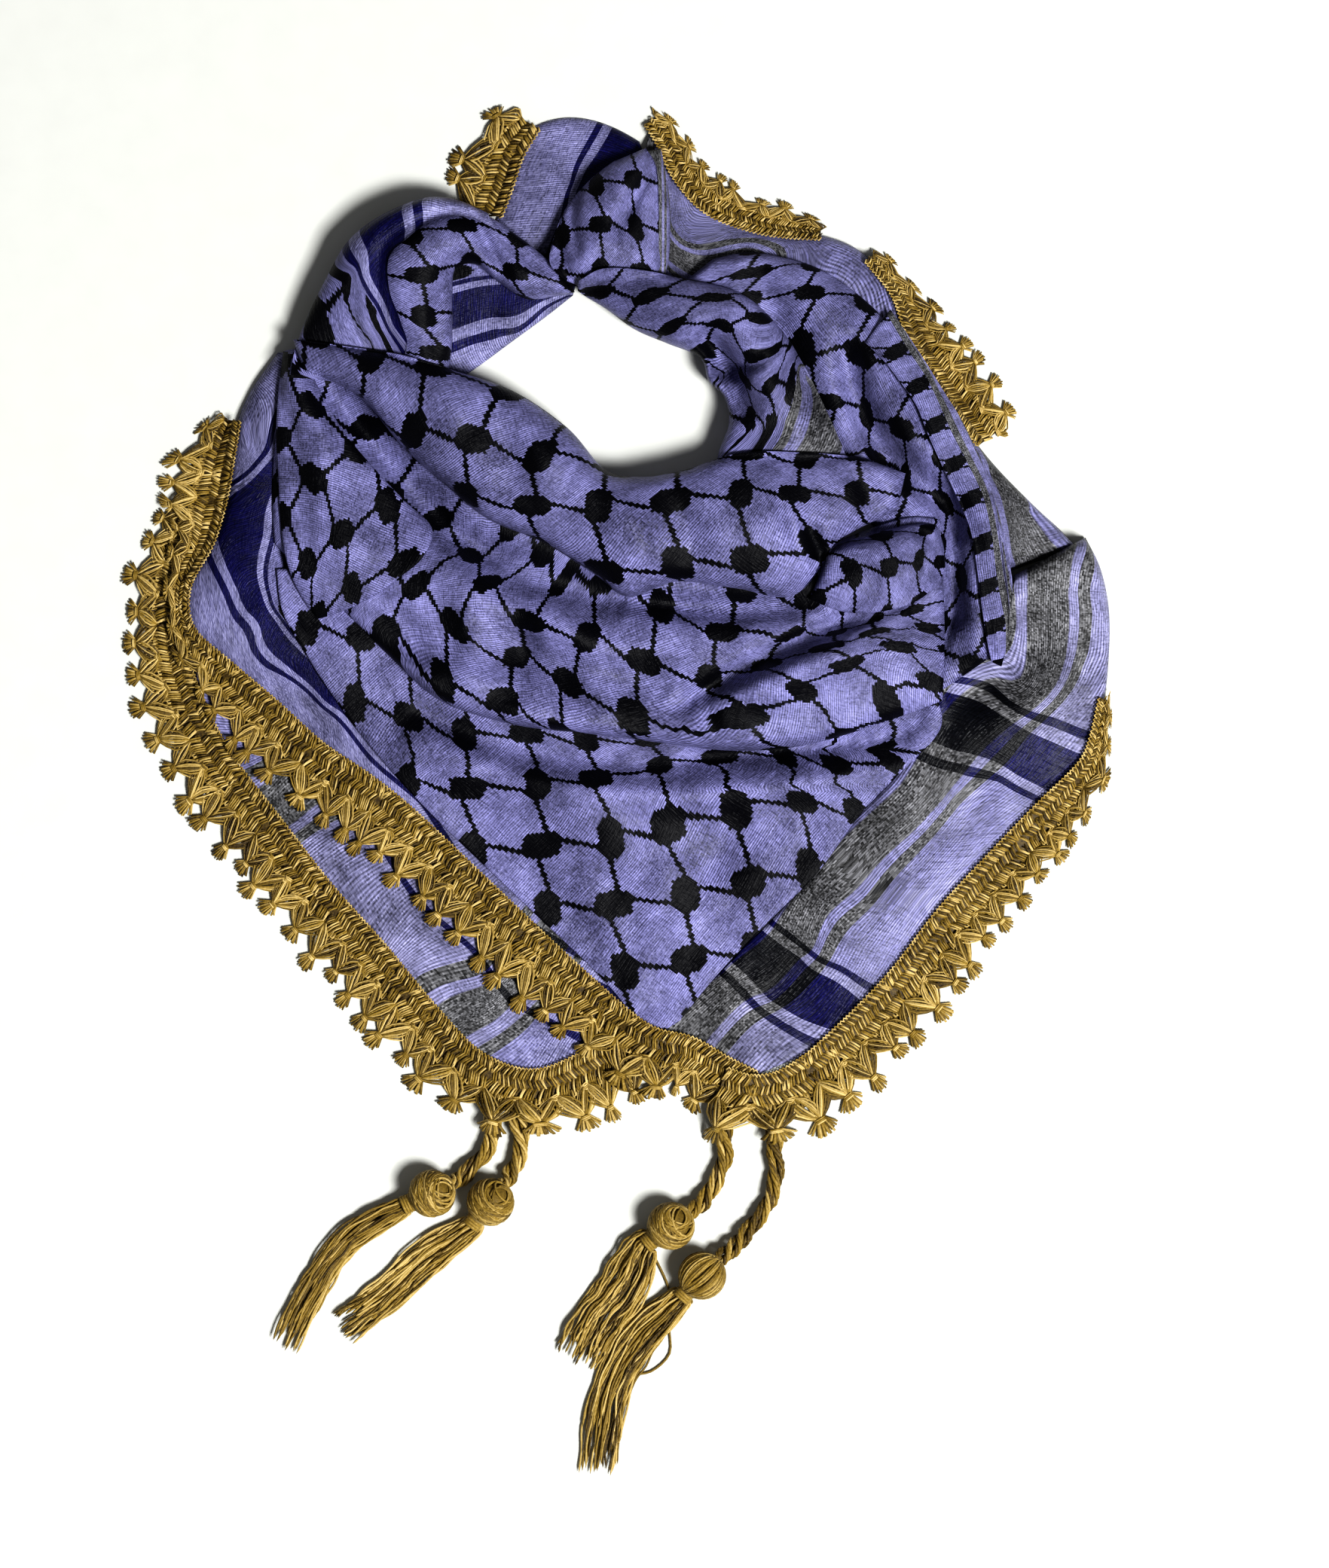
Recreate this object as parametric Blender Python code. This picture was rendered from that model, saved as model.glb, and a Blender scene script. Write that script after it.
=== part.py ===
"""Keffiyeh wound as a neck scarf and laid flat: the cloth, its crocheted edge and four tassels.

Every stretch is a grid that is bent over a table of sections and laid on what is already there, from the
table top upward, so that each layer rests on the ones below. Tables are in millimetres; X runs to the
right, Y to the back of the neck and Z up. The origin is the middle of the underside.
"""

from typing import NamedTuple

import bmesh
import bpy
import numpy as np
from mathutils import Vector

MM = 0.001

# Driving sizes, in millimetres
CLOTH = 1.5  # one layer of the cloth
SEAT = 0.8  # between a stretch and what it lies on, where they are closest
TRIM_SEAT = 0.5  # the same for a trim
CLEAR = 0.3  # between a trim or tassel and the table top
PITCH = 11.0  # spacing of a stretch's grid
REACH = 7.0  # how near a lower piece's top must be to lift a stretch that lies on it
TRIM_LIFT = 3.0  # the same for a trim
CENTRE_X, CENTRE_Y = -2.06, -0.27  # middle of the whole outline in the tables' frame

TRIM_STEP = 13.0  # one crocheted shell
TRIM_BAND = 12.0  # the close stitched band next to the hem
TRIM_HEM = 2.0  # how far the band laps over the hem
TRIM_THICK = 2.4
TUFT_THICK = 1.3  # share of that thickness at a shell's tuft
BAND_SHARE = 0.42  # the band's largest share of the reach
SHELL_ROOT = 10.8  # width of a shell where it leaves the band
SHELL_LEVELS = ((0.42, 9.0), (0.72, 4.2), (1.0, 7.6))  # share of its reach and width there

BALL_RADIUS = 10.4
BALL_END = 0.93  # share of its radius where the ball is tied off
BALL_SINK = 0.85  # share of the ball's middle height where the cord and neck meet it
CORD_RADIUS = 4.2
CORD_TWIST = 0.12  # share of its radius that the cord swells and narrows by
SKIRT_STRANDS = (4, 3)  # yarn locks across and through a skirt
SKIRT_ROOT = (7.0, 5.5)  # width and depth of the tied collar
COLLAR_GAP = 0.8  # between the ball and its collar
COLLAR_LENGTH = 5.0
COLLAR_SHARE = 0.05  # the collar's share of the skirt
LOCK_LEVELS = (0.12, 0.35, 0.62, 1.0)  # shares of the skirt where its locks bend
LOCK_WIDTH = 0.62  # share of its room that a lock fills
SPREAD_RATE = 2.2  # how soon a skirt reaches its end width
SKIRT_HEIGHTS = (9.0, 8.0, 4.6, 3.6, 3.4)

# Raster of the heights laid so far
CELL = 1.0
REACH_X, REACH_Y = 290.0, 370.0

VIOLET = (0.20, 0.19, 0.47)
SHADE = (0.14, 0.13, 0.36)
NAVY = (0.03, 0.03, 0.13)
GREY = (0.12, 0.12, 0.15)
GOLD = (0.33, 0.21, 0.05)


class Section(NamedTuple):
    """A row of a stretch: three points across it, each x, y and height."""

    first: tuple
    middle: tuple
    last: tuple


class Ring(NamedTuple):
    """A row of a roll: its two sides in plan, the height of its widest line and of its crest."""

    first: tuple
    last: tuple
    side: float
    crest: float


class Fold(NamedTuple):
    """A crease through three plan points, with a width to its left and right, and a height."""

    start: tuple
    via: tuple
    end: tuple
    left: float
    right: float
    height: float


class Edge(NamedTuple):
    """A row of a trim: a point on the hem and how far the crochet reaches from it."""

    x: float
    y: float
    reach: float


LOWER_LAYER = (
    Section((-204, 84, 1.5), (-162, 114, 3), (-118, 146, 5)),
    Section((-201, 52, 1.5), (-148, 88, 3), (-92, 126, 6)),
    Section((-184, 19, 1.5), (-124, 60, 3), (-62, 104, 7)),
    Section((-160, -13, 1.5), (-97, 30, 3), (-32, 78, 7)),
    Section((-136, -44, 1.5), (-69, 2, 3), (-3, 50, 6)),
    Section((-112, -71, 1.5), (-44, -26, 3), (22, 20, 5)),
    Section((-88, -100, 1.5), (-19, -53, 3), (43, -8, 4)),
    Section((-66, -122, 1.5), (0, -79, 2), (55, -35, 3)),
    Section((-40, -130, 1.5), (10, -97, 1.5), (60, -60, 2)),
    Section((-12, -119, 1.5), (22, -106, 1.5), (58, -84, 1.5)),
)

LEFT_END_FLAP = (
    Section((-44, 308, 2.5), (-20, 314, 4), (8, 303, 5)),
    Section((-48, 296, 3), (-20, 298, 7), (9, 296, 8)),
    Section((-53, 281, 3), (-28, 280, 8), (2, 280, 9)),
    Section((-59, 266, 3), (-35, 265, 8), (-5, 262, 9)),
    Section((-63, 250, 3), (-38, 248, 6), (-10, 246, 7)),
)

BACK_BORDER = (
    Section((212, 114, 12), (190, 107, 16), (166, 98, 14)),
    Section((203, 123, 11), (183, 122, 17), (162, 118, 15)),
    Section((190, 135, 10), (174, 138, 17), (156, 138, 15)),
    Section((170, 156, 8), (159, 158, 15), (146, 158, 14)),
    Section((150, 183, 7), (142, 186, 13), (132, 185, 13)),
    Section((135, 208, 7), (126, 211, 12), (115, 208, 12)),
    Section((127, 232, 7), (115, 231, 11), (102, 225, 11)),
    Section((112, 251, 7), (100, 242, 11), (88, 233, 10)),
    Section((94, 259, 5), (84, 247, 9), (74, 235, 9)),
    Section((76, 260, 4), (68, 248, 8), (60, 236, 8)),
    Section((60, 263, 3), (54, 250, 7), (47, 237, 7)),
    Section((40, 271, 2.5), (36, 257, 6), (31, 243, 6)),
    Section((26, 286, 2.5), (23, 270, 5), (19, 254, 5)),
    Section((18, 302, 2.5), (16, 287, 4), (13, 272, 4)),
    Section((13, 311, 2.5), (11, 300, 3), (9, 290, 3)),
)

INNER_BACK_BAND = (
    Section((-88, 186, 3), (-88, 216, 6), (-88, 248, 8)),
    Section((-72, 195, 3), (-71, 220, 6), (-70, 245, 8)),
    Section((-50, 211, 3), (-49, 224, 6), (-48, 238, 8)),
    Section((-35, 222, 3), (-34, 229, 6), (-33, 237, 8)),
    Section((-23, 231.5, 3), (-22, 234, 6), (-21, 238, 7)),
)

RIGHT_SHOULDER = (
    Section((20, 230, 9), (32, 240, 14), (42, 248, 13)),
    Section((50, 222, 10), (58, 237, 19), (62, 251, 14)),
    Section((72, 204, 11), (84, 222, 22), (91, 243, 15)),
    Section((86, 186, 11), (102, 204, 22), (115, 226, 16)),
    Section((95, 166, 11), (115, 184, 21), (132, 206, 18)),
    Section((103, 146, 11), (127, 166, 21), (147, 184, 18)),
    Section((112, 130, 11), (137, 148, 21), (159, 163, 19)),
    Section((125, 114, 11), (147, 131, 20), (168, 142, 20)),
    Section((136, 98, 11), (156, 111, 21), (176, 120, 20)),
    Section((141, 78, 11), (159, 91, 20), (180, 98, 20)),
    Section((143, 60, 11), (159, 70, 18), (178, 80, 18)),
    Section((145, 46, 10), (157, 54, 14), (170, 63, 14)),
)

LEFT_BORDER = (
    Section((-160, 205, 7), (-155, 205, 8), (-149, 205, 8)),
    Section((-172, 188, 6), (-163, 188, 9), (-151, 188, 9)),
    Section((-179, 172, 5), (-167, 172, 9), (-154, 172, 9)),
    Section((-182, 155, 5), (-169, 155, 9), (-155, 155, 9)),
    Section((-184, 138, 5), (-170, 138, 9), (-155, 138, 9)),
    Section((-190, 118, 6), (-174, 118, 10), (-156, 118, 9)),
    Section((-202, 96, 7), (-180, 98, 11), (-156, 102, 9)),
    Section((-200, 76, 7), (-178, 80, 11), (-152, 84, 9)),
    Section((-182, 59, 5), (-164, 64, 9), (-143, 70, 8)),
    Section((-162, 42, 4), (-147, 48, 7), (-131, 54, 7)),
    Section((-140, 22, 4), (-128, 30, 6), (-117, 36, 6)),
    Section((-118, 7, 4), (-109, 12, 5), (-100, 17, 5)),
    Section((-98, -8, 4), (-93, -3, 5), (-88, 2, 5)),
)

RIGHT_BORDER = (
    Section((22, -104, 4), (42, -119, 2), (62, -131, 1.5)),
    Section((42, -86, 4), (70, -102, 3), (95, -115, 1.5)),
    Section((62, -65, 5), (95, -77, 4), (124, -86, 1.5)),
    Section((84, -41, 6), (119, -49, 5), (148, -55, 1.5)),
    Section((104, -14, 7), (140, -24, 5), (170, -31, 1.5)),
    Section((120, 3, 8), (159, -2, 6), (194, -6, 1.5)),
    Section((138, 18, 9), (179, 15, 8), (214, 14, 2)),
    Section((149, 34, 10), (190, 36, 11), (223, 40, 4)),
    Section((156, 52, 12), (195, 58, 14), (226, 64, 6)),
    Section((162, 72, 15), (198, 80, 19), (226, 86, 9)),
    Section((172, 90, 19), (200, 98, 22), (222, 105, 12)),
    Section((181, 101, 20), (200, 111, 22), (215, 119, 14)),
)

FRONT_FIELD = (
    Section((14, -107.5, 4), (20, -106, 4), (26, -102.5, 4)),
    Section((-10, -85, 5), (17, -86, 6), (44, -84, 5)),
    Section((-36, -60, 5), (15, -61, 7), (66, -61, 6)),
    Section((-60, -37, 6), (15, -37, 8), (90, -37, 7)),
    Section((-84, -14, 6), (14, -12, 9), (110, -10, 8)),
    Section((-103, 6, 7), (13, 8, 9), (127, 8, 9)),
    Section((-120, 26, 8), (12, 28, 9), (144, 25, 10)),
    Section((-133, 44, 9), (12, 46, 9), (148, 36, 10)),
    Section((-146, 64, 10), (8, 64, 9), (142, 52, 10)),
    Section((-157, 84, 10), (0, 84, 8), (132, 72, 9)),
    Section((-160, 104, 10), (-10, 104, 7), (120, 92, 8)),
)

COWL = (
    Section((-161, 116, 11), (-161, 160, 14), (-152, 205, 12)),
    Section((-150, 104, 13), (-142, 150, 16), (-128, 194, 12)),
    Section((-128, 84, 14), (-112, 128, 17), (-92, 178, 12)),
    Section((-108, 64, 15), (-86, 106, 18), (-62, 158, 12)),
    Section((-84, 43, 16), (-62, 86, 19), (-40, 138, 12)),
    Section((-50, 32, 18), (-34, 76, 20), (-15, 124, 12)),
    Section((-17, 28, 19), (-5, 72, 21), (8, 118, 12)),
    Section((15, 24, 20), (25, 70, 22), (35, 116, 12)),
    Section((50, 20, 20), (58, 68, 22), (62, 116, 12)),
    Section((82, 22, 19), (90, 70, 23), (92, 116, 12)),
    Section((112, 30, 17), (120, 76, 24), (118, 124, 14)),
    Section((132, 37, 16), (138, 82, 22), (134, 128, 15)),
    Section((148, 43, 14), (149, 86, 18), (146, 127, 15)),
)

LEFT_BACK_ROLL = (
    Ring((-153, 192), (-90, 170), 13, 18),
    Ring((-151, 206), (-80, 190), 13, 22),
    Ring((-145, 222), (-79, 204), 14, 27),
    Ring((-134, 243), (-78.5, 220), 14, 30),
    Ring((-120, 262), (-78.5, 234), 14, 31),
    Ring((-100, 273), (-77, 244), 14, 30),
    Ring((-80, 276), (-68, 245), 13, 28),
    Ring((-62, 270), (-56, 236), 13, 27),
    Ring((-48, 258), (-44, 229), 12, 25),
    Ring((-34, 247), (-31, 230.5), 12, 21),
    Ring((-24, 239), (-22, 232.5), 11, 15),
)

KNOT = (
    Ring((-13, 298), (16, 302), 10, 16),
    Ring((-22, 285), (20, 288), 12, 23),
    Ring((-28, 270), (22, 270), 13, 27),
    Ring((-32, 255), (22, 252), 14, 28),
    Ring((-33, 244), (19, 241), 14, 25),
    Ring((-24, 235), (6, 232), 12, 17),
)

RIGHT_BACK_ROLL = (
    Ring((-20, 236.5), (-20.5, 232.5), 9, 12),
    Ring((-8, 242), (-8, 225), 11, 19),
    Ring((12, 241), (6, 215), 12, 25),
    Ring((35, 237), (21, 208.5), 13, 30),
    Ring((57, 230), (36, 202), 13, 33),
    Ring((74, 214), (40, 191), 13, 34),
    Ring((85, 196), (47, 184), 13, 34),
    Ring((94, 178), (49.5, 172), 13, 32),
    Ring((102, 160), (45, 159), 13, 28),
    Ring((107, 148), (42, 146), 12, 22),
)

FRONT_ROLL = (
    Ring((-152, 210), (-147, 196), 16, 22),
    Ring((-131, 207), (-128, 176), 18, 30),
    Ring((-105, 203), (-106, 156), 18, 36),
    Ring((-79, 196), (-86, 141), 18, 39),
    Ring((-50, 186), (-62, 127), 18, 41),
    Ring((-25, 169), (-36, 116), 18, 41),
    Ring((-8, 150), (-12, 101), 18, 40),
    Ring((8, 146.5), (3, 91), 18, 40),
    Ring((26, 149), (25, 98), 18, 39),
    Ring((54, 157), (52, 95), 18, 38),
    Ring((85, 157), (80, 92), 18, 36),
    Ring((110, 155), (101, 117), 18, 32),
    Ring((131, 148), (127, 131), 17, 24),
)

# The largest folds of each stretch: start, via and end in plan, widths and height
COWL_FOLDS = (
    Fold((-150, 106), (-124, 82), (-92, 50), 9, 14, 4),
    Fold((40, 44), (80, 62), (128, 96), 9, 9, 6),
    Fold((92, 92), (118, 112), (140, 118), 12, 12, 9),
    Fold((-110, 120), (-60, 88), (-10, 62), 14, 14, 4),
)
SHOULDER_FOLDS = (
    Fold((88, 218), (112, 176), (124, 154), 12, 10, -9),
    Fold((126, 152), (150, 122), (153, 60), 10, 10, -8),
    Fold((130, 190), (160, 135), (170, 80), 10, 10, 6),
)
RIGHT_BORDER_FOLDS = (Fold((150, 44), (176, 55), (204, 92), 12, 12, -9),)
FIELD_FOLDS = (Fold((-120, 24), (-90, 22), (-66, 6), 12, 12, 3),)
LEFT_ROLL_FOLDS = (Fold((-150, 190), (-128, 232), (-80, 262), 12, 12, 4),)
KNOT_FOLDS = (
    Fold((6, 296), (-8, 268), (-30, 240), 9, 9, 4),
    Fold((12, 290), (4, 262), (4, 240), 6, 6, -4),
)

LOWER_TRIM = (
    Edge(-193, 128, 25), Edge(-203, 100, 27), Edge(-205, 76, 27), Edge(-199, 50, 31), Edge(-184, 19, 33),
    Edge(-160, -13, 33), Edge(-136, -44, 33), Edge(-112, -71, 33), Edge(-88, -100, 33),
    Edge(-66, -122, 33), Edge(-40, -130, 33), Edge(-12, -119, 33), Edge(12, -108, 30),
)
UPPER_TRIM = (
    Edge(-179, 173, 14), Edge(-182, 155, 27), Edge(-185, 138, 33), Edge(-191, 117, 22), Edge(-202, 96, 12),
    Edge(-200, 76, 12), Edge(-182, 59, 22), Edge(-162, 42, 32), Edge(-140, 22, 33), Edge(-118, 7, 33),
    Edge(-98, -9, 33), Edge(-60, -45, 33), Edge(-22, -81, 33), Edge(10, -108, 31), Edge(32, -115, 29),
    Edge(48, -124, 31), Edge(62, -131, 33),
)
RIGHT_TRIM = (
    Edge(64, -131.5, 33), Edge(78, -128, 33), Edge(95, -115, 33), Edge(124, -86, 33), Edge(148, -55, 31),
    Edge(170, -31, 29), Edge(194, -6, 26), Edge(213, 13, 15), Edge(219, 26, 9), Edge(223, 44, 5),
)
BACK_TRIM = (
    Edge(114, 248, 9), Edge(127, 231, 12), Edge(135, 208, 24), Edge(150, 183, 26), Edge(166, 162, 24),
)
LEFT_END_TRIM = (Edge(-40, 309.5, 20), Edge(-48, 296, 28), Edge(-53, 281, 30), Edge(-58, 268, 30))
BACK_END_TRIM = (
    Edge(12, 312, 10), Edge(18, 302, 14), Edge(26, 286, 16), Edge(40, 271, 18), Edge(60, 263, 16),
    Edge(76, 260, 14), Edge(92, 259, 8),
)


class Tassel(NamedTuple):
    """The cord's route, the ball's middle and the skirt's route in plan, and the skirt's end width."""

    name: str
    cord: tuple
    ball: tuple
    skirt: tuple
    spread: float


TASSELS = (
    Tassel("tassel_a", ((-60, -147), (-62, -164), (-75, -178)), (-88, -185),
           ((-101, -191), (-126, -206), (-142, -227), (-159, -259)), 12),
    Tassel("tassel_b", ((-49, -149), (-47, -165), (-52, -177)), (-61, -189),
           ((-71, -201), (-92, -216), (-112, -234), (-132, -249)), 16),
    Tassel("tassel_c", ((46, -148), (47, -170), (38, -188)), (22.5, -200),
           ((11, -209), (0, -230), (-12, -246), (-22, -266)), 22),
    Tassel("tassel_d", ((70, -152), (70, -184), (56, -206)), (37, -223),
           ((25, -236), (7, -254), (-6, -280), (-12, -317)), 17),
)


def smooth_rows(rows, at):
    """Catmull-Rom through a table's rows, at fractions of its length.

    Args:
        rows: array with a row for each section.
        at: fractions from 0 to 1.
    """
    rows = np.asarray(rows, float)
    place = np.clip(np.asarray(at, float), 0, 1) * (len(rows) - 1)
    i = np.minimum(place.astype(int), len(rows) - 2)
    t = (place - i).reshape(-1, *[1] * (rows.ndim - 1))
    padded = np.concatenate([2 * rows[:1] - rows[1:2], rows, 2 * rows[-1:] - rows[-2:-1]])
    a, b, c, d = (padded[i + k] for k in range(4))
    bend = (2 * a - 5 * b + 4 * c - d) * t**2 + (3 * b - a - 3 * c + d) * t**3
    return b + (c - a) * t / 2 + bend / 2


def spaced_fractions(points, count):
    """Fractions of a table that lie evenly along the curve through its points."""
    fine = np.linspace(0, 1, 400)
    line = smooth_rows(points, fine)
    run = np.concatenate([[0], np.cumsum(np.linalg.norm(np.diff(line[:, :2], axis=0), axis=1))])
    return np.interp(np.linspace(0, run[-1], count + 1), run, fine), run[-1]


def fold_height(folds, x, y):
    """Height that a stretch's folds add at each plan point."""
    total = np.zeros_like(x)
    for fold in folds:
        a, b, c = (np.array(p, float) for p in (fold.start, fold.via, fold.end))
        t = np.linspace(0, 1, 25)[:, None]
        line = a * (1 - t) * (1 - 2 * t) + b * 4 * t * (1 - t) + c * t * (2 * t - 1)
        dx, dy = x[..., None] - line[:, 0], y[..., None] - line[:, 1]
        nearest = np.argmin(dx**2 + dy**2, axis=-1)
        along = np.gradient(line, axis=0)[nearest]
        dx, dy = x - line[nearest, 0], y - line[nearest, 1]
        side = along[..., 0] * dy - along[..., 1] * dx
        width = np.where(side > 0, fold.left, fold.right)
        fade = np.sin(np.pi * np.clip(nearest / 24, 0, 1)) ** 0.6
        total += fold.height * fade * np.exp(-(dx**2 + dy**2) / width**2)
    return total


class Laid:
    """The height of everything laid so far, as a raster over the table top."""

    def __init__(self):
        self.shape = (int(2 * REACH_X / CELL), int(2 * REACH_Y / CELL))
        self.top = np.zeros(self.shape)

    def cell(self, x, y):
        i = np.clip(((x + REACH_X) / CELL).astype(int), 0, self.shape[0] - 1)
        j = np.clip(((y + REACH_Y) / CELL).astype(int), 0, self.shape[1] - 1)
        return i, j

    def under(self, x, y, radius):
        """The highest thing within a radius of each point."""
        spread = self.top
        for axis in (0, 1):
            steps = range(-int(np.ceil(radius / CELL)), int(np.ceil(radius / CELL)) + 1)
            spread = np.max([np.roll(spread, k, axis) for k in steps], axis=0)
        return spread[self.cell(x, y)]

    def slack(self, points, seat=SEAT):
        """How far points can sink before one of them meets what is below."""
        below = self.top[self.cell(points[..., 0], points[..., 1])]
        return np.min(np.where(below > 0, points[..., 2] - below, 1e3)) - seat

    def lay_points(self, points):
        np.maximum.at(self.top, self.cell(points[..., 0], points[..., 1]), points[..., 2])


def fine_grid(points):
    """Points of a grid, with eleven more between neighbours."""
    nu, nv = points.shape[:2]
    u = np.linspace(0, nu - 1, (nu - 1) * 12 + 1)
    v = np.linspace(0, nv - 1, (nv - 1) * 12 + 1)
    i, j = np.minimum(u.astype(int), nu - 2), np.minimum(v.astype(int), nv - 2)
    s, t = (u - i)[:, None, None], (v - j)[None, :, None]
    near = points[np.ix_(i, j)] * (1 - s) + points[np.ix_(i + 1, j)] * s
    far = points[np.ix_(i, j + 1)] * (1 - s) + points[np.ix_(i + 1, j + 1)] * s
    return near * (1 - t) + far * t


def fine_faces(bm):
    """Points all over a body's four-sided faces."""
    s, t = (k[..., None] for k in np.meshgrid(np.linspace(0, 1, 13), np.linspace(0, 1, 13)))
    corners = np.array([[v.co for v in f.verts] for f in bm.faces if len(f.verts) == 4])
    a, b, c, d = (corners[:, k, None, None, :] for k in range(4))
    return (a * (1 - s) + b * s) * (1 - t) + (d * (1 - s) + c * s) * t


def settle(wanted, floor, passes=3):
    """Raises a height grid just clear of the floor, and eases the raised part out."""
    short = floor - wanted
    lift = np.maximum(short, 0)
    for _ in range(passes):
        ring = np.pad(lift, 1, mode="edge")
        mean = (ring[:-2, 1:-1] + ring[2:, 1:-1] + ring[1:-1, :-2] + ring[1:-1, 2:]) / 4
        lift = np.maximum((lift + mean) / 2, np.maximum(short, 0))
    return wanted + lift


def material(name, colour, rough=0.75):
    made = bpy.data.materials.new(name)
    made.use_nodes = True
    shader = made.node_tree.nodes["Principled BSDF"]
    shader.inputs["Base Color"].default_value = (*colour, 1)
    shader.inputs["Roughness"].default_value = rough
    shader.inputs["Metallic"].default_value = 0.0
    return made


def finish(name, bm, colour):
    """Turns a bmesh in millimetres into the named object."""
    bmesh.ops.recalc_face_normals(bm, faces=bm.faces)
    if bm.calc_volume(signed=True) < 0:
        bmesh.ops.reverse_faces(bm, faces=bm.faces)
    bmesh.ops.translate(bm, verts=bm.verts, vec=(-CENTRE_X, -CENTRE_Y, 0))
    bmesh.ops.scale(bm, verts=bm.verts, vec=(MM, MM, MM))
    mesh = bpy.data.meshes.new(name)
    bm.to_mesh(mesh)
    bm.free()
    mesh.shade_smooth()
    mesh.materials.append(material(f"{name}_finish", colour))
    made = bpy.data.objects.new(name, mesh)
    bpy.context.scene.collection.objects.link(made)
    return made


def slab(name, under, over, colour):
    """A closed piece between two grids of points that share their plan."""
    nu, nv = over.shape[0] - 1, over.shape[1] - 1
    bm = bmesh.new()
    bmesh.ops.create_grid(bm, x_segments=nu, y_segments=nv, size=0.5)
    lower = list(bm.verts)
    raised = bmesh.ops.extrude_face_region(bm, geom=bm.faces[:])["geom"]
    upper = [v for v in raised if isinstance(v, bmesh.types.BMVert)]
    for verts, points in ((lower, under), (upper, over)):
        for v in verts:
            i, j = round((v.co.x + 0.5) * nu), round((v.co.y + 0.5) * nv)
            v.co = Vector(points[i, j])
    return finish(name, bm, colour)


def stretch(name, laid, rows, colour, folds=(), solid=False):
    """A stretch of cloth one layer thick, or filled down to what it lies on."""
    table = np.array(rows, float)
    u, length = spaced_fractions(table[:, 1, :2], 1)
    across = np.linalg.norm(table[:, 0, :2] - table[:, 2, :2], axis=1).mean()
    nu, nv = max(3, round(length / PITCH)), max(2, round(across / PITCH))
    u, _ = spaced_fractions(table[:, 1, :2], nu)
    v = np.linspace(0, 1, nv + 1)[None, :, None]
    first, middle, last = (smooth_rows(table[:, k], u)[:, None] for k in range(3))
    points = first * (1 - v) * (1 - 2 * v) + middle * 4 * v * (1 - v) + last * v * (2 * v - 1)
    x, y = points[..., 0], points[..., 1]
    floor = laid.under(x, y, REACH)
    top = settle(points[..., 2] + fold_height(folds, x, y), floor + CLOTH)
    under = floor if solid else top - CLOTH
    sink = laid.slack(fine_grid(np.stack([x, y, under], axis=-1)))
    if sink < 900:
        under = np.maximum(under - sink, 0)
        top = np.maximum(top if solid else top - sink, under + CLOTH)
    return place(name, laid, x, y, under, top, colour)


def roll(name, laid, rows, colour, folds=()):
    """A rolled stretch: its hidden layers fill one rounded body."""
    table = np.array([(*r.first, *r.last, r.side, r.crest) for r in rows], float)
    middle = (table[:, :2] + table[:, 2:4]) / 2
    _, length = spaced_fractions(middle, 1)
    across = np.linalg.norm(table[:, :2] - table[:, 2:4], axis=1).mean()
    nu, nv = max(3, round(length / PITCH)), max(4, 2 * round(across / PITCH / 2))
    u, _ = spaced_fractions(middle, nu)
    row = smooth_rows(table, u)[:, None, :]
    turn = np.linspace(0, np.pi, nv + 1)
    v = ((1 - np.cos(turn)) / 2)[None, :]
    round_up = np.sin(turn)[None, :] ** 0.8
    x = row[..., 0] * (1 - v) + row[..., 2] * v
    y = row[..., 1] * (1 - v) + row[..., 3] * v
    floor = laid.under(x, y, REACH)
    side, crest = row[..., 4], row[..., 5]
    under = settle(side - 2 * CLOTH - (side - 2 * CLOTH) * round_up, floor, 1)
    under = np.maximum(under - laid.slack(fine_grid(np.stack([x, y, under], axis=-1))), 0)
    wanted = side + (crest - side) * round_up + fold_height(folds, x, y) * round_up
    top = settle(wanted, under + 2 * CLOTH, 2)
    return place(name, laid, x, y, under, top, colour)


def place(name, laid, x, y, under, top, colour):
    over = np.stack([x, y, top], axis=-1)
    laid.lay_points(fine_grid(over))
    return slab(name, np.stack([x, y, under], axis=-1), over, colour)


def trim(name, laid, edges, side):
    """The crocheted edge: a band along the hem, and a row of shells that each end in a tuft."""
    table = np.array(edges, float)
    _, length = spaced_fractions(table[:, :2], 1)
    shells = max(2, round(length / TRIM_STEP))
    step = length / shells
    bm = bmesh.new()
    bmesh.ops.create_grid(bm, x_segments=2 * shells, y_segments=1, size=0.5)
    bmesh.ops.extrude_face_region(bm, geom=bm.faces[:])
    gap_share = 1 - SHELL_ROOT / TRIM_STEP
    seen = set()
    # in the bmesh, X is the place along the hem in steps, Y the part of the reach and Z the layer
    for v in bm.verts:
        half = round((v.co.x + 0.5) * 2 * shells)
        station = half // 2 + (gap_share if half % 2 else 0)
        key = (half, round(v.co.y + 0.5))
        layer = 1 if key in seen else 0
        seen.add(key)
        v.co = Vector((station, key[1], layer))
    bmesh.ops.recalc_face_normals(bm, faces=bm.faces)
    roots = [f for f in bm.faces if all(v.co.y > 0.5 for v in f.verts)]
    roots.sort(key=lambda f: f.calc_center_median().x)
    roots = roots[1::2]
    for level, (_, width) in enumerate(SHELL_LEVELS, start=2):
        grown = bmesh.ops.extrude_discrete_faces(bm, faces=roots)["faces"]
        for f in grown:
            middle = sum(v.co.x for v in f.verts) / 4
            for v in f.verts:
                v.co.x = middle + (width / TRIM_STEP / 2 if v.co.x > middle else -width / TRIM_STEP / 2)
                v.co.y = level
        roots = grown
    bend_trim(bm, laid, table, side, step, shells)
    return finish(name, bm, GOLD)


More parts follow.
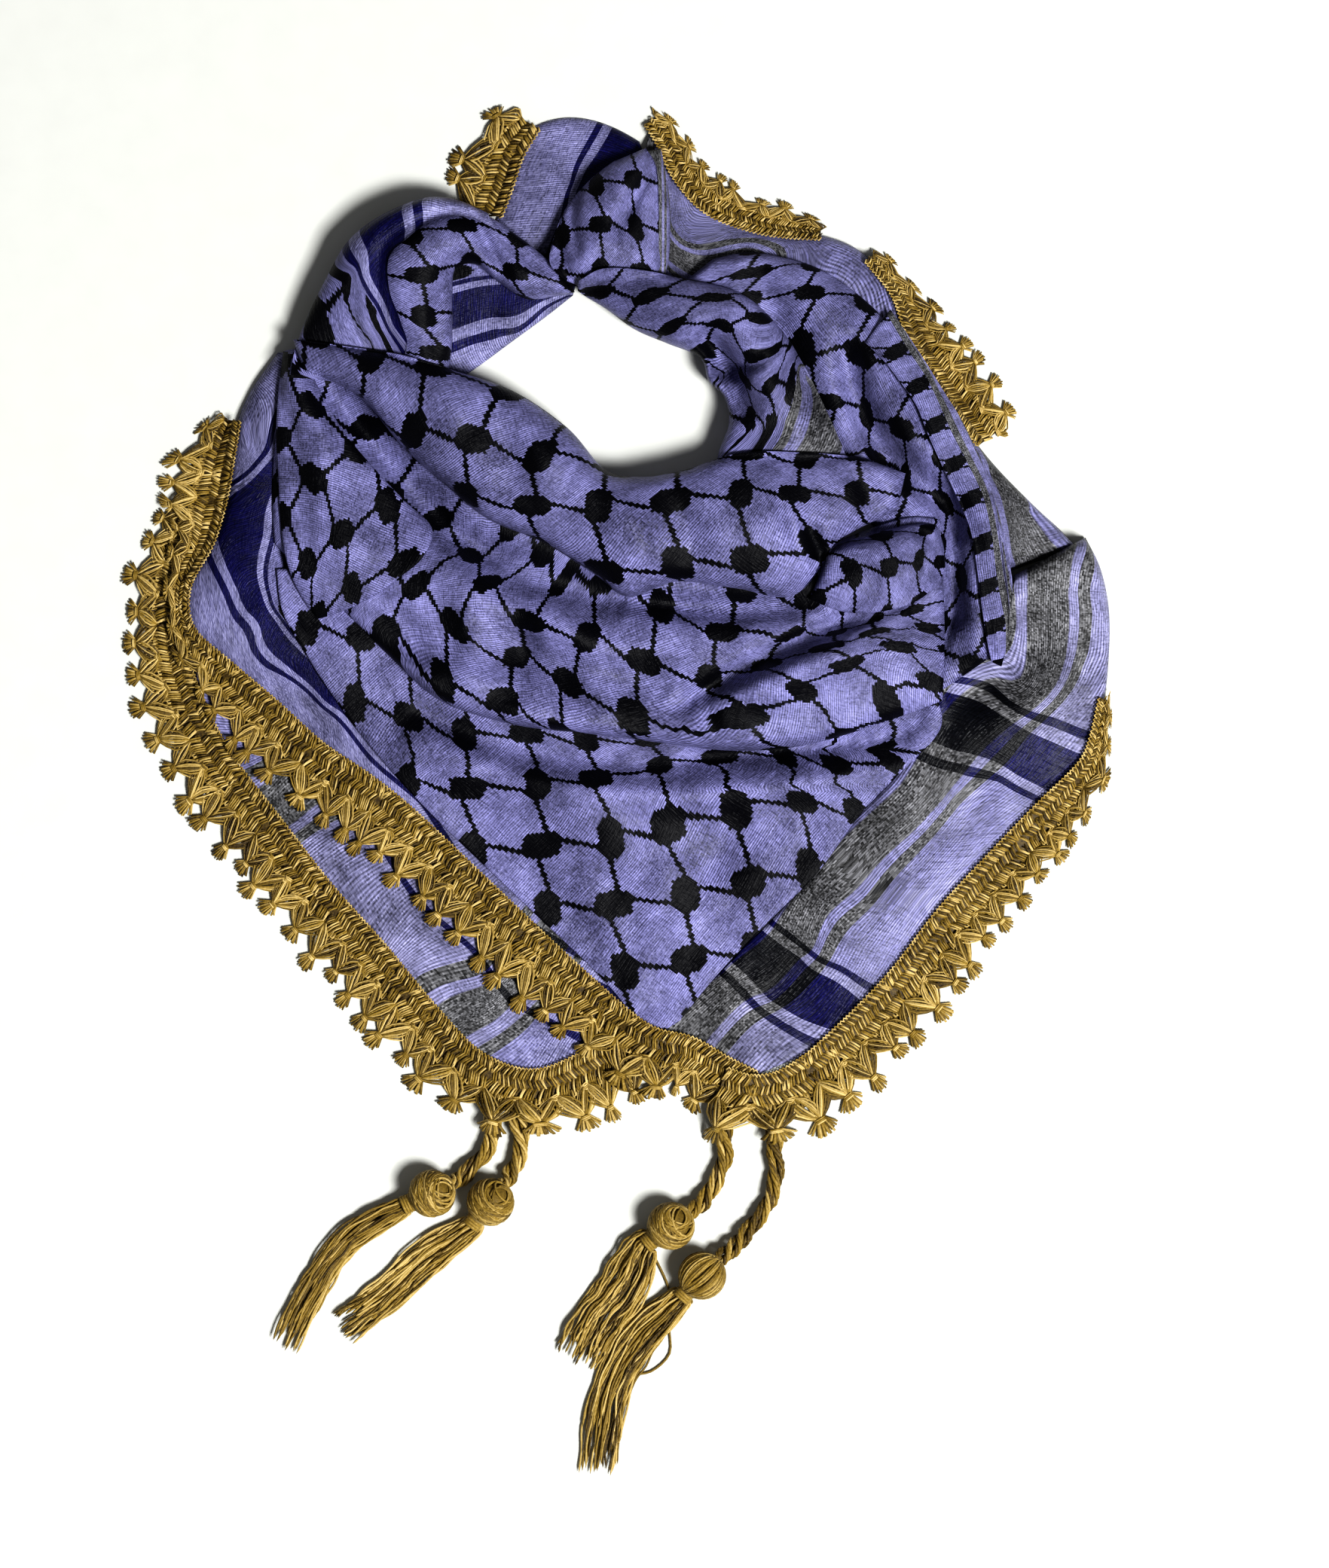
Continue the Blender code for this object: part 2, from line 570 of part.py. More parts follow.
def bend_trim(bm, laid, table, side, step, shells):
    """Bends a straight trim along its hem and lays it on what is below."""
    u, _ = spaced_fractions(table[:, :2], shells * 4)
    line = smooth_rows(table, u)
    way = np.gradient(line[:, :2], axis=0)
    way /= np.linalg.norm(way, axis=1)[:, None]
    out = np.stack([way[:, 1], -way[:, 0]], axis=1) * side
    coords = np.array([v.co for v in bm.verts])
    at = coords[:, 0] * 4
    grid = np.arange(len(line))
    spot = np.stack([np.interp(at, grid, line[:, k]) for k in (0, 1)], axis=1)
    normal = np.stack([np.interp(at, grid, out[:, k]) for k in (0, 1)], axis=1)
    normal /= np.linalg.norm(normal, axis=1)[:, None]
    reach = np.interp(at, grid, line[:, 2])
    band = np.minimum(TRIM_BAND, BAND_SHARE * reach)
    level = coords[:, 1].round().astype(int)
    share = np.array([0, 0, *(at for at, _ in SHELL_LEVELS)])[level]
    offset = np.where(level == 0, -TRIM_HEM, band + (reach - band) * share)
    plan = spot + normal * offset[:, None]
    base = laid.under(plan[:, 0], plan[:, 1], TRIM_LIFT) + CLEAR
    thick = np.where(level == level.max(), TUFT_THICK, 1.0) * np.where(coords[:, 2] > 0.5, TRIM_THICK, 0)
    for v, (x, y), height in zip(bm.verts, plan, base + thick):
        v.co = Vector((x, y, height))
    base = np.maximum(base - laid.slack(fine_faces(bm), TRIM_SEAT), CLEAR)
    for v, height in zip(bm.verts, base + thick):
        v.co.z = height
    laid.lay_points(fine_faces(bm))


def bend_along(bm, route):
    """Bends a bmesh whose Z runs from 0 to 1 along a route; X goes to the side and Y up."""
    route = np.array(route, float)
    z = np.array([v.co.z for v in bm.verts])
    fine = np.linspace(0, 1, 101)
    line = smooth_rows(route, fine)
    way = np.gradient(line, axis=0)
    way /= np.linalg.norm(way, axis=1)[:, None]
    spot = np.stack([np.interp(z, fine, line[:, k]) for k in range(3)], axis=1)
    ahead = np.stack([np.interp(z, fine, way[:, k]) for k in range(3)], axis=1)
    for v, p, w in zip(bm.verts, spot, ahead):
        w = Vector(w).normalized()
        across = w.cross(Vector((0, 0, 1))).normalized()
        v.co = Vector(p) + across * v.co.x + across.cross(w) * v.co.y


def turned(rings, sides=8):
    """A closed body from rings: each a place along the route and a radius."""
    bm = bmesh.new()
    bmesh.ops.create_circle(bm, cap_ends=True, segments=sides, radius=1.0)
    cap = next(iter(bm.faces))
    layers = [list(cap.verts)]
    for k in range(1, len(rings)):
        grown = bmesh.ops.extrude_face_region(bm, geom=[cap])["geom"]
        if k > 1:
            bmesh.ops.delete(bm, geom=[cap], context="FACES_ONLY")
        cap = next(f for f in grown if isinstance(f, bmesh.types.BMFace))
        layers.append([v for v in grown if isinstance(v, bmesh.types.BMVert)])
    for verts, (place_along, radius) in zip(layers, rings):
        for v in verts:
            v.co = Vector((v.co.x * radius, v.co.y * radius, place_along))
    return bm


def tassel_head(tassel, laid):
    """The cord, the wound ball and the tied neck below it."""
    lift = CORD_RADIUS * (1 + CORD_TWIST) + CLEAR
    route = [(*p, lift) for p in tassel.cord]
    cords = len(route)
    middle = np.array(tassel.ball, float)
    before, after = np.array(tassel.cord[-1], float), np.array(tassel.skirt[0], float)
    enter = middle + (before - middle) / np.linalg.norm(before - middle) * BALL_RADIUS
    leave = middle + (after - middle) / np.linalg.norm(after - middle) * BALL_RADIUS
    high = BALL_RADIUS + CLEAR
    route += [(*enter, high * BALL_SINK), (*middle, high), (*leave, high * BALL_SINK)]
    steps = len(route) - 1
    ball_at = (cords + 1) / steps
    half = 1 / steps
    rings = [(k / (2 * steps), CORD_RADIUS * (1 + CORD_TWIST * (-1) ** k)) for k in range(2 * cords)]
    for k in range(9):
        turn = BALL_END * (k / 4 - 1)
        rings.append((ball_at + turn * half, BALL_RADIUS * np.sqrt(1 - turn**2)))
    bm = turned(rings, 10)
    bend_along(bm, route)
    laid.lay_points(fine_faces(bm))
    return finish(f"{tassel.name}_head", bm, GOLD)


def tassel_skirt(tassel):
    """The yarn ends, apart but for the tied collar that holds them."""
    across, through = SKIRT_STRANDS
    bm = bmesh.new()
    bmesh.ops.create_grid(bm, x_segments=across, y_segments=through, size=0.5)
    grown = bmesh.ops.extrude_face_region(bm, geom=bm.faces[:])["geom"]
    for v in (g for g in grown if isinstance(g, bmesh.types.BMVert)):
        v.co.z = COLLAR_SHARE
    bmesh.ops.recalc_face_normals(bm, faces=bm.faces)
    tips = [f for f in bm.faces if f.calc_center_median().z > 0.99 * COLLAR_SHARE]
    for level in LOCK_LEVELS:
        tips = bmesh.ops.extrude_discrete_faces(bm, faces=tips)["faces"]
        for f in tips:
            middle = f.calc_center_median()
            shrink = LOCK_WIDTH if level == LOCK_LEVELS[0] else 1.0
            for v in f.verts:
                v.co = middle + (v.co - middle) * shrink
                v.co.z = level
    ball, first = np.array(tassel.ball, float), np.array(tassel.skirt[0], float)
    away = (first - ball) / np.linalg.norm(first - ball)
    collar = ball + away * (BALL_RADIUS * BALL_END + COLLAR_GAP)
    root, depth = SKIRT_ROOT
    for v in bm.verts:
        v.co.x *= root + (tassel.spread - root) * min(1, v.co.z * SPREAD_RATE)
        v.co.y *= depth
    route = [tuple(collar), tuple(collar + away * COLLAR_LENGTH), *tassel.skirt[1:]]
    bend_along(bm, [(*p, h) for p, h in zip(route, SKIRT_HEIGHTS)])
    return finish(f"{tassel.name}_skirt", bm, GOLD)


def main():
    for old in list(bpy.data.objects):
        bpy.data.objects.remove(old)
    laid = Laid()
    for tassel in TASSELS:
        tassel_head(tassel, laid)
        tassel_skirt(tassel)
    stretch("lower_layer", laid, LOWER_LAYER, VIOLET, solid=True)
    trim("lower_trim", laid, LOWER_TRIM, 1)
    stretch("left_end_flap", laid, LEFT_END_FLAP, VIOLET, solid=True)
    trim("left_end_trim", laid, LEFT_END_TRIM, 1)
    stretch("back_border", laid, BACK_BORDER, GREY, solid=True)
    trim("back_end_trim", laid, BACK_END_TRIM, -1)
    trim("back_trim", laid, BACK_TRIM, -1)
    stretch("inner_back_band", laid, INNER_BACK_BAND, NAVY, solid=True)
    stretch("right_border", laid, RIGHT_BORDER, GREY, RIGHT_BORDER_FOLDS, solid=True)
    stretch("right_shoulder", laid, RIGHT_SHOULDER, SHADE, SHOULDER_FOLDS, solid=True)
    stretch("left_border", laid, LEFT_BORDER, NAVY, solid=True)
    stretch("front_field", laid, FRONT_FIELD, VIOLET, FIELD_FOLDS)
    trim("upper_trim", laid, UPPER_TRIM, 1)
    trim("right_trim", laid, RIGHT_TRIM, 1)
    stretch("cowl", laid, COWL, SHADE, COWL_FOLDS, solid=True)
    roll("left_back_roll", laid, LEFT_BACK_ROLL, VIOLET, LEFT_ROLL_FOLDS)
    roll("knot", laid, KNOT, SHADE, KNOT_FOLDS)
    roll("right_back_roll", laid, RIGHT_BACK_ROLL, VIOLET)
    roll("front_roll", laid, FRONT_ROLL, VIOLET)


main()
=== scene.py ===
"""Keffiyeh neck scarf laid flat on a pale table: its cloth, crocheted edge and tassels, the light and the camera.

The cloth is laid stretch by stretch from the table upward, each on what is already there. Tables are in
millimetres, X to the right and Y to the back of the neck. Cloth places are in millimetres from the square's
two striped edges, so one weave pattern runs over every stretch.
"""

import logging
from dataclasses import dataclass
from enum import Enum
from typing import Callable, NamedTuple, Optional

import bmesh
import bpy
import numpy as np
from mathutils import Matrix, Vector, noise


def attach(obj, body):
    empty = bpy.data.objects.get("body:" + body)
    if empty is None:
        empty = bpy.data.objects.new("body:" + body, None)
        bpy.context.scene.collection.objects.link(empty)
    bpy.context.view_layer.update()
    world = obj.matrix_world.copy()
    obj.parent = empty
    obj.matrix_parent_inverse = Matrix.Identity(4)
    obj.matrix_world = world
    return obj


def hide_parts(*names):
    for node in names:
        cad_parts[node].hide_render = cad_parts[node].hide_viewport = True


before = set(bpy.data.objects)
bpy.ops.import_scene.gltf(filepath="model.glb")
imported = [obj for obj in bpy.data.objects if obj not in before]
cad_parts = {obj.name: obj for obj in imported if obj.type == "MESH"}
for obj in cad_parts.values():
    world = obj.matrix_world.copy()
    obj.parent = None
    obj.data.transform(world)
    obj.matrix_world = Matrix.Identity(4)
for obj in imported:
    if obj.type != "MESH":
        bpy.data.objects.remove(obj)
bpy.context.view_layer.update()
LOG = logging.getLogger("keffiyeh")

MM = 0.001
CENTRE = np.array([-2.06, -0.27])  # middle of the outline in the tables' frame
CLOTH = 1.1  # one layer of the cloth
PITCH = 1.9  # spacing of a stretch's grid
HOME = 435.0  # cloth place, from both striped edges, of the net's middle knot
TILE = 42.7  # the net's repeat along the threads
SPREAD = TILE / 2  # along the threads from a knot to the next

Grid = np.ndarray
Socket = bpy.types.NodeSocket


class Section(NamedTuple):
    """A row of a stretch: three points across it, each x, y and height."""

    first: tuple
    middle: tuple
    last: tuple


class Ring(NamedTuple):
    """A row of a roll: its two sides in plan, the height of its widest line and of its crest."""

    first: tuple
    last: tuple
    side: float
    crest: float


class Crease(NamedTuple):
    """A fold through three plan points: its width to the left and right, and its height."""

    start: tuple
    via: tuple
    end: tuple
    left: float
    right: float
    height: float


class Pin(NamedTuple):
    """A plan point and the cloth place that lies there, from the grey and the navy striped edge."""

    x: float
    y: float
    grey: float
    navy: float


class Edge(NamedTuple):
    """A row of a trim: a point on the hem and how far the crochet reaches from it."""

    x: float
    y: float
    reach: float


def knot(x: float, y: float, across: float, down: float) -> Pin:
    """A pin at a knot of the net, counted to the right and down the square from its middle one."""
    return Pin(x, y, HOME - SPREAD * (across + down), HOME + SPREAD * (across - down))


def linear(code: str) -> tuple[float, float, float, float]:
    """Turns an sRGB hex value into a linear colour.

    Args:
        code: such as "7c7ab0".

    Returns:
        Red, green, blue and an alpha of 1.
    """
    parts = (int(code[k:k + 2], 16) / 255 for k in (0, 2, 4))
    return (*(c / 12.92 if c <= 0.04045 else ((c + 0.055) / 1.055) ** 2.4 for c in parts), 1.0)


def add(tree: bpy.types.NodeTree, kind: str, links: Optional[dict] = None, **settings) -> Socket:
    """Adds a node.

    Args:
        tree: the material's tree.
        kind: the node's type, without its "ShaderNode".
        links: a value or another node's socket for each input, by name or number.
        settings: the node's own options.

    Returns:
        The node's first output.
    """
    made = tree.nodes.new("ShaderNode" + kind)
    for key, value in settings.items():
        setattr(made, key, value)
    for key, value in (links or {}).items():
        if isinstance(value, Socket):
            tree.links.new(value, made.inputs[key])
        else:
            made.inputs[key].default_value = value
    return made.outputs[0] if len(made.outputs) else None


def smooth_rows(rows: Grid, at: Grid) -> Grid:
    """Runs a Catmull-Rom curve through a table's rows.

    Args:
        rows: an array with a row for each section.
        at: fractions of the table from 0 to 1.

    Returns:
        A row for each fraction.
    """
    rows = np.asarray(rows, float)
    place = np.clip(np.asarray(at, float), 0, 1) * (len(rows) - 1)
    i = np.minimum(place.astype(int), len(rows) - 2)
    t = (place - i).reshape(-1, *[1] * (rows.ndim - 1))
    padded = np.concatenate([2 * rows[:1] - rows[1:2], rows, 2 * rows[-1:] - rows[-2:-1]])
    a, b, c, d = (padded[i + k] for k in range(4))
    bend = (2 * a - 5 * b + 4 * c - d) * t**2 + (3 * b - a - 3 * c + d) * t**3
    return b + (c - a) * t / 2 + bend / 2


def spaced_fractions(points: Grid, count: int) -> tuple[Grid, float]:
    """Finds fractions of a table that lie evenly along the curve through its points.

    Args:
        points: the table's rows.
        count: steps between the fractions.

    Returns:
        The fractions, and the curve's length.
    """
    fine = np.linspace(0, 1, 600)
    line = smooth_rows(points, fine)
    run = np.concatenate([[0], np.cumsum(np.linalg.norm(np.diff(line[:, :2], axis=0), axis=1))])
    return np.interp(np.linspace(0, run[-1], count + 1), run, fine), float(run[-1])


def crease_height(creases: tuple, x: Grid, y: Grid) -> Grid:
    """Adds up the heights of a stretch's folds.

    Args:
        creases: the folds.
        x, y: plan points.

    Returns:
        The height at each point.
    """
    total = np.zeros_like(x)
    for crease in creases:
        a, b, c = (np.array(p, float) for p in (crease.start, crease.via, crease.end))
        t = np.linspace(0, 1, 41)[:, None]
        line = a * (1 - t) * (1 - 2 * t) + b * 4 * t * (1 - t) + c * t * (2 * t - 1)
        way = np.gradient(line, axis=0)
        nearest = np.argmin((x[..., None] - line[:, 0]) ** 2 + (y[..., None] - line[:, 1]) ** 2, axis=-1)
        dx, dy = x - line[nearest, 0], y - line[nearest, 1]
        side = way[nearest, 0] * dy - way[nearest, 1] * dx
        width = np.where(side > 0, crease.left, crease.right)
        fade = np.sin(np.pi * np.clip(nearest / 40, 0, 1)) ** 0.6
        total += crease.height * fade * np.exp(-(dx**2 + dy**2) / width**2)
    return total


def ripple(x: Grid, y: Grid, size: float, seed: float) -> Grid:
    """Gives smooth uneven heights from -1 to 1 over plan points, with hollows of about one size."""
    flat = np.stack([x.ravel(), y.ravel()], axis=1) / size
    return np.array([noise.noise(Vector((u, v, seed))) for u, v in flat]).reshape(x.shape)


def unevenness(x: Grid, y: Grid, seed: float) -> Grid:
    """Adds up the soft hollows, wrinkles and small puckers of worn cloth."""
    return ripple(x, y, 30, seed) * 2.8 + ripple(x, y, 13, seed + 9) * 1.3 + ripple(x, y, 6, seed + 5) * 0.35


def thin_plate(pins: tuple, own: Grid, ease: float = 60.0) -> Callable[[Grid], Grid]:
    """Finds the smooth map that carries a stretch's pins to their cloth places.

    Args:
        pins: the pins.
        own: each pin's place on the unrolled stretch.
        ease: how far the map may miss a pin to stay smooth.

    Returns:
        A function from unrolled places to cloth places.
    """
    goal = np.array([(p.grey, p.navy) for p in pins])
    scale = 100.0

    def bend(a: Grid, b: Grid) -> Grid:
        """Gives the plate's bending at points a for a load at each point of b."""
        square = ((a[:, None] - b[None]) ** 2).sum(-1) / scale**2
        return square * np.log(square + 1e-9) / 2

    count = len(pins)
    flat = np.hstack([np.ones((count, 1)), own / scale])
    system = np.zeros((count + 3, count + 3))
    system[:count, :count] = bend(own, own) + np.eye(count) * ease / scale**2 / 4
    system[:count, count:] = flat
    system[count:, :count] = flat.T
    weights = np.linalg.solve(system, np.vstack([goal, np.zeros((3, 2))]))

    def places(at: Grid) -> Grid:
        """Carries unrolled places to cloth places."""
        level = np.hstack([np.ones((len(at), 1)), at / scale])
        return bend(at, own) @ weights[:count] + level @ weights[count:]

    return places


def unrolled(points: Grid) -> Grid:
    """Lays each row of a surface out flat about its middle.

    Args:
        points: a grid of points in space.

    Returns:
        A plan place for each point, as far from the row's middle as the cloth between is long.
    """
    step = np.diff(points, axis=1)
    whole = unit(points[:, -1:, :2] - points[:, :1, :2], 1e-9)
    length = np.linalg.norm(step, axis=-1, keepdims=True)
    plan = np.linalg.norm(step[..., :2], axis=-1, keepdims=True)
    way = np.where(plan > 0.15 * length, step[..., :2] / (plan + 1e-9), whole)
    move = way * length
    middle = points.shape[1] // 2
    out = np.empty_like(points[..., :2])
    out[:, middle] = points[:, middle, :2]
    out[:, middle + 1:] = out[:, middle:middle + 1] + np.cumsum(move[:, middle:], axis=1)
    out[:, :middle] = (out[:, middle:middle + 1] - np.cumsum(move[:, :middle][:, ::-1], axis=1))[:, ::-1]
    return out


class TableTop:
    """The height of everything laid so far, at each millimetre of the table top."""

    HALF = (300, 380)

    def __init__(self) -> None:
        """Starts with an empty table."""
        self.top = np.zeros((2 * self.HALF[0], 2 * self.HALF[1]))

    def under(self, x: Grid, y: Grid, reach: int) -> Grid:
        """Finds the eased height of what is already laid.

        Args:
            x, y: plan points.
            reach: how far from a point something still lifts it.

        Returns:
            The height at each point.
        """
        spread = self.top
        for axis in (0, 1):
            spread = np.max([np.roll(spread, k, axis) for k in range(-reach, reach + 1)], axis=0)
        for axis in (0, 1):
            spread = np.mean([np.roll(spread, k, axis) for k in range(-reach, reach + 1)], axis=0)
        u, v = x + self.HALF[0] - 0.5, y + self.HALF[1] - 0.5
        i, j = np.floor(u).astype(int), np.floor(v).astype(int)
        s, t = u - i, v - j
        low = spread[i, j] * (1 - s) + spread[i + 1, j] * s
        high = spread[i, j + 1] * (1 - s) + spread[i + 1, j + 1] * s
        return low * (1 - t) + high * t

    def lay(self, points: Grid) -> None:
        """Adds a grid of points, and the points between them."""
        for s in np.linspace(0, 1, 4):
            for t in np.linspace(0, 1, 4):
                near = points[:-1, :-1] * (1 - s) + points[1:, :-1] * s
                far = points[:-1, 1:] * (1 - s) + points[1:, 1:] * s
                self.lay_points((near * (1 - t) + far * t).reshape(-1, 3))

    def lay_points(self, points: Grid) -> None:
        """Adds single points."""
        cells = np.floor(points[:, :2]).astype(int) + self.HALF
        np.maximum.at(self.top, (cells[:, 0], cells[:, 1]), points[:, 2])


def settle(wanted: Grid, floor: Grid, passes: int = 8) -> Grid:
    """Raises a height grid just clear of the floor, and eases the raised part out.

    Args:
        wanted: the heights as they would be in the air.
        floor: the lowest they can be.
        passes: rounds of easing.

    Returns:
        The settled heights.
    """
    short = floor - wanted
    lift = np.maximum(short, 0)
    for _ in range(passes):
        ring = np.pad(lift, 1, mode="edge")
        mean = (ring[:-2, 1:-1] + ring[2:, 1:-1] + ring[1:-1, :-2] + ring[1:-1, 2:]) / 4
        lift = np.maximum((lift + mean) / 2, np.maximum(short, 0))
    return wanted + lift


def unit(rows: Grid, least: float = 0.0) -> Grid:
    """Scales each row to a length of one; least keeps a row of no length from a division by zero."""
    return rows / (np.linalg.norm(rows, axis=-1, keepdims=True) + least)


def link_object(name: str, data: bpy.types.ID) -> bpy.types.Object:
    """Puts an object with this data in the scene, at the origin."""
    made = bpy.data.objects.new(name, data)
    bpy.context.scene.collection.objects.link(made)
    return made


def blank_material(name: str) -> tuple[bpy.types.Material, bpy.types.NodeTree]:
    """Makes a material with an empty tree, and gives both."""
    made = bpy.data.materials.new(name)
    made.use_nodes = True
    made.node_tree.nodes.clear()
    return made, made.node_tree


def object_of(name: str, bm: bmesh.types.BMesh, finish: bpy.types.Material) -> bpy.types.Object:
    """Turns a bmesh in the tables' frame into an object of the scene, at the origin.

    Args:
        name: the piece's name.
        bm: its mesh, which is freed.
        finish: its material.

    Returns:
        The object.
    """
    bmesh.ops.translate(bm, verts=bm.verts, vec=(-CENTRE[0], -CENTRE[1], 0))
    bmesh.ops.scale(bm, verts=bm.verts, vec=(MM, MM, MM))
    mesh = bpy.data.meshes.new(name)
    bm.to_mesh(mesh)
    bm.free()
    mesh.shade_smooth()
    mesh.materials.append(finish)
    return link_object(name, mesh)


def cloth_shell(name: str, under: Grid, over: Grid, places: Grid, finish: bpy.types.Material) -> bpy.types.Object:
    """Makes a closed piece of cloth between two grids of points.

    Args:
        name: the piece's name.
        under, over: the grids, in the tables' frame.
        places: the grids' cloth places.
        finish: the material, which reads the places as its UV map.

    Returns:
        The object.
    """
    nu, nv = over.shape[0] - 1, over.shape[1] - 1
    bm = bmesh.new()
    bmesh.ops.create_grid(bm, x_segments=nu, y_segments=nv, size=0.5)
    lower = list(bm.verts)
    raised = bmesh.ops.extrude_face_region(bm, geom=bm.faces[:])["geom"]
    upper = [v for v in raised if isinstance(v, bmesh.types.BMVert)]
    cloth = np.zeros((len(bm.verts), 2))
    bm.verts.index_update()
    for verts, points in ((lower, under), (upper, over)):
        for v in verts:
            i, j = round((v.co.x + 0.5) * nu), round((v.co.y + 0.5) * nv)
            v.co = Vector(points[i, j])
            cloth[v.index] = places[i, j]
    bmesh.ops.recalc_face_normals(bm, faces=bm.faces)
    if bm.calc_volume(signed=True) < 0:
        bmesh.ops.reverse_faces(bm, faces=bm.faces)
    made = object_of(name, bm, finish)
    mesh = made.data
    corners = np.empty(len(mesh.loops), int)
    mesh.loops.foreach_get("vertex_index", corners)
    mesh.uv_layers.new(name="cloth").data.foreach_set("uv", cloth[corners].ravel())
    return made


@dataclass(frozen=True)
class Stretch:
    """One stretch of the cloth as it lies.

    Attributes:
        node: the solid it stands for.
        rows: its sections, in order along it.
        pins: where its weave lies.
        creases: its folds.
        filled: whether hidden layers fill it down to what it lies on.
        nose: how far in from an edge the folded cloth is still turning over.
        wrinkle: height of its fine unevenness.
        seed: what makes its unevenness its own.
        part: what it is called, after the solid's name.
    """

    node: str
    rows: tuple
    pins: tuple
    creases: tuple = ()
    filled: bool = True
    nose: float = 5.0
    wrinkle: float = 0.7
    seed: float = 0.0
    part: str = "cloth"

    def plan(self) -> tuple[Grid, Grid, Grid]:
        """Lays out the stretch's grid.

        Returns:
            Its plan and wanted height, as three grids.
        """
        table = np.array(self.rows, float)
        _, length = spaced_fractions(table[:, 1, :2], 1)
        across = np.linalg.norm(table[:, 0, :2] - table[:, 2, :2], axis=1).mean()
        nu, nv = max(8, round(length / PITCH)), max(8, round(across / PITCH))
        run = np.linspace(0, 1, nu + 1)
        run -= 0.5 * np.sin(2 * np.pi * run) / (2 * np.pi) * min(1, 12 * self.nose / length)
        fractions, _ = spaced_fractions(table[:, 1, :2], 400)
        u = np.interp(run, np.linspace(0, 1, 401), fractions)
        v = np.linspace(0, 1, nv + 1)
        v = (v - 0.6 * np.sin(2 * np.pi * v) / (2 * np.pi))[None, :, None]
        first, middle, last = (smooth_rows(table[:, k], u)[:, None] for k in range(3))
        points = first * (1 - v) * (1 - 2 * v) + middle * 4 * v * (1 - v) + last * v * (2 * v - 1)
        return points[..., 0], points[..., 1], points[..., 2]

    def turn(self, x: Grid, y: Grid) -> Grid:
        """Says how far each point is through the turn at the stretch's folded edges, from 0 to 1."""
        points = np.stack([x, y], axis=-1)
        along = np.linalg.norm(np.diff(points, axis=0), axis=-1)
        across = np.linalg.norm(np.diff(points, axis=1), axis=-1)
        run_u = np.pad(np.cumsum(along, axis=0), ((1, 0), (0, 0)))
        run_v = np.pad(np.cumsum(across, axis=1), ((0, 0), (1, 0)))
        edge = np.minimum(np.minimum(run_u, run_u[-1:] - run_u), np.minimum(run_v, run_v[:, -1:] - run_v))
        part = np.clip(edge / self.nose, 0, 1)
        return np.sqrt(1 - (1 - part) ** 2)

    def build(self, table: TableTop, finish: bpy.types.Material) -> bpy.types.Object:
        """Lays the stretch on what is there.

        Args:
            table: what is there.
            finish: the woven cloth.

        Returns:
            The piece.
        """
        x, y, height = self.plan()
        floor = table.under(x, y, 3)
        folds = crease_height(self.creases, x, y)
        wanted = height + folds + self.wrinkle * unevenness(x, y, self.seed)
        turn = self.turn(x, y)
        top = settle(wanted, floor + CLOTH + 0.4)
        if self.filled:
            under = floor + 0.2
            over = under + CLOTH * 0.3 + (top - under - CLOTH * 0.3) * turn
        else:
            middle = top - CLOTH / 2
            under, over = middle - CLOTH / 2 * turn, middle + CLOTH / 2 * turn + 0.05
        points = np.stack([x, y, over], axis=-1)
        table.lay(points)
        return self.dress(x, y, under, points, finish)

    def cut(self) -> tuple[float, float]:
        """Gives the flat cloth's width and length, in metres, across and along its rows."""
        table = np.array(self.rows, float)
        _, length = spaced_fractions(table[:, 1, :2], 1)
        return float(np.linalg.norm(table[:, 0] - table[:, 2], axis=1).mean()) * MM, length * MM

    def dress(self, x: Grid, y: Grid, under: Grid, points: Grid, finish: bpy.types.Material) -> bpy.types.Object:
        """Makes the piece, with the weave pinned over it.

        Args:
            x, y: its plan.
            under: its underside's heights.
            points: its upper side.
            finish: the woven cloth.

        Returns:
            The piece.
        """
        own = unrolled(points)
        carry = thin_plate(self.pins, self.pinned(points, own))
        places = carry(own.reshape(-1, 2)).reshape(own.shape)
        below = np.stack([x, y, under], axis=-1)
        return cloth_shell(f"{self.node}_{self.part}", below, points, places, finish)

    def pinned(self, points: Grid, own: Grid) -> Grid:
        """Finds the pins' places on the unrolled stretch.

        Args:
            points: the upper side.
            own: its unrolled places.

        Returns:
            A place for each pin, carried over the edge where the pin lies beyond it.
        """
        plan, flat = points[..., :2].reshape(-1, 2), own.reshape(-1, 2)
        found = []
        for pin in self.pins:
            spot = np.array([pin.x, pin.y])
            nearest = int(np.argmin(((plan - spot) ** 2).sum(-1)))
            found.append(flat[nearest] + spot - plan[nearest])
        return np.array(found)


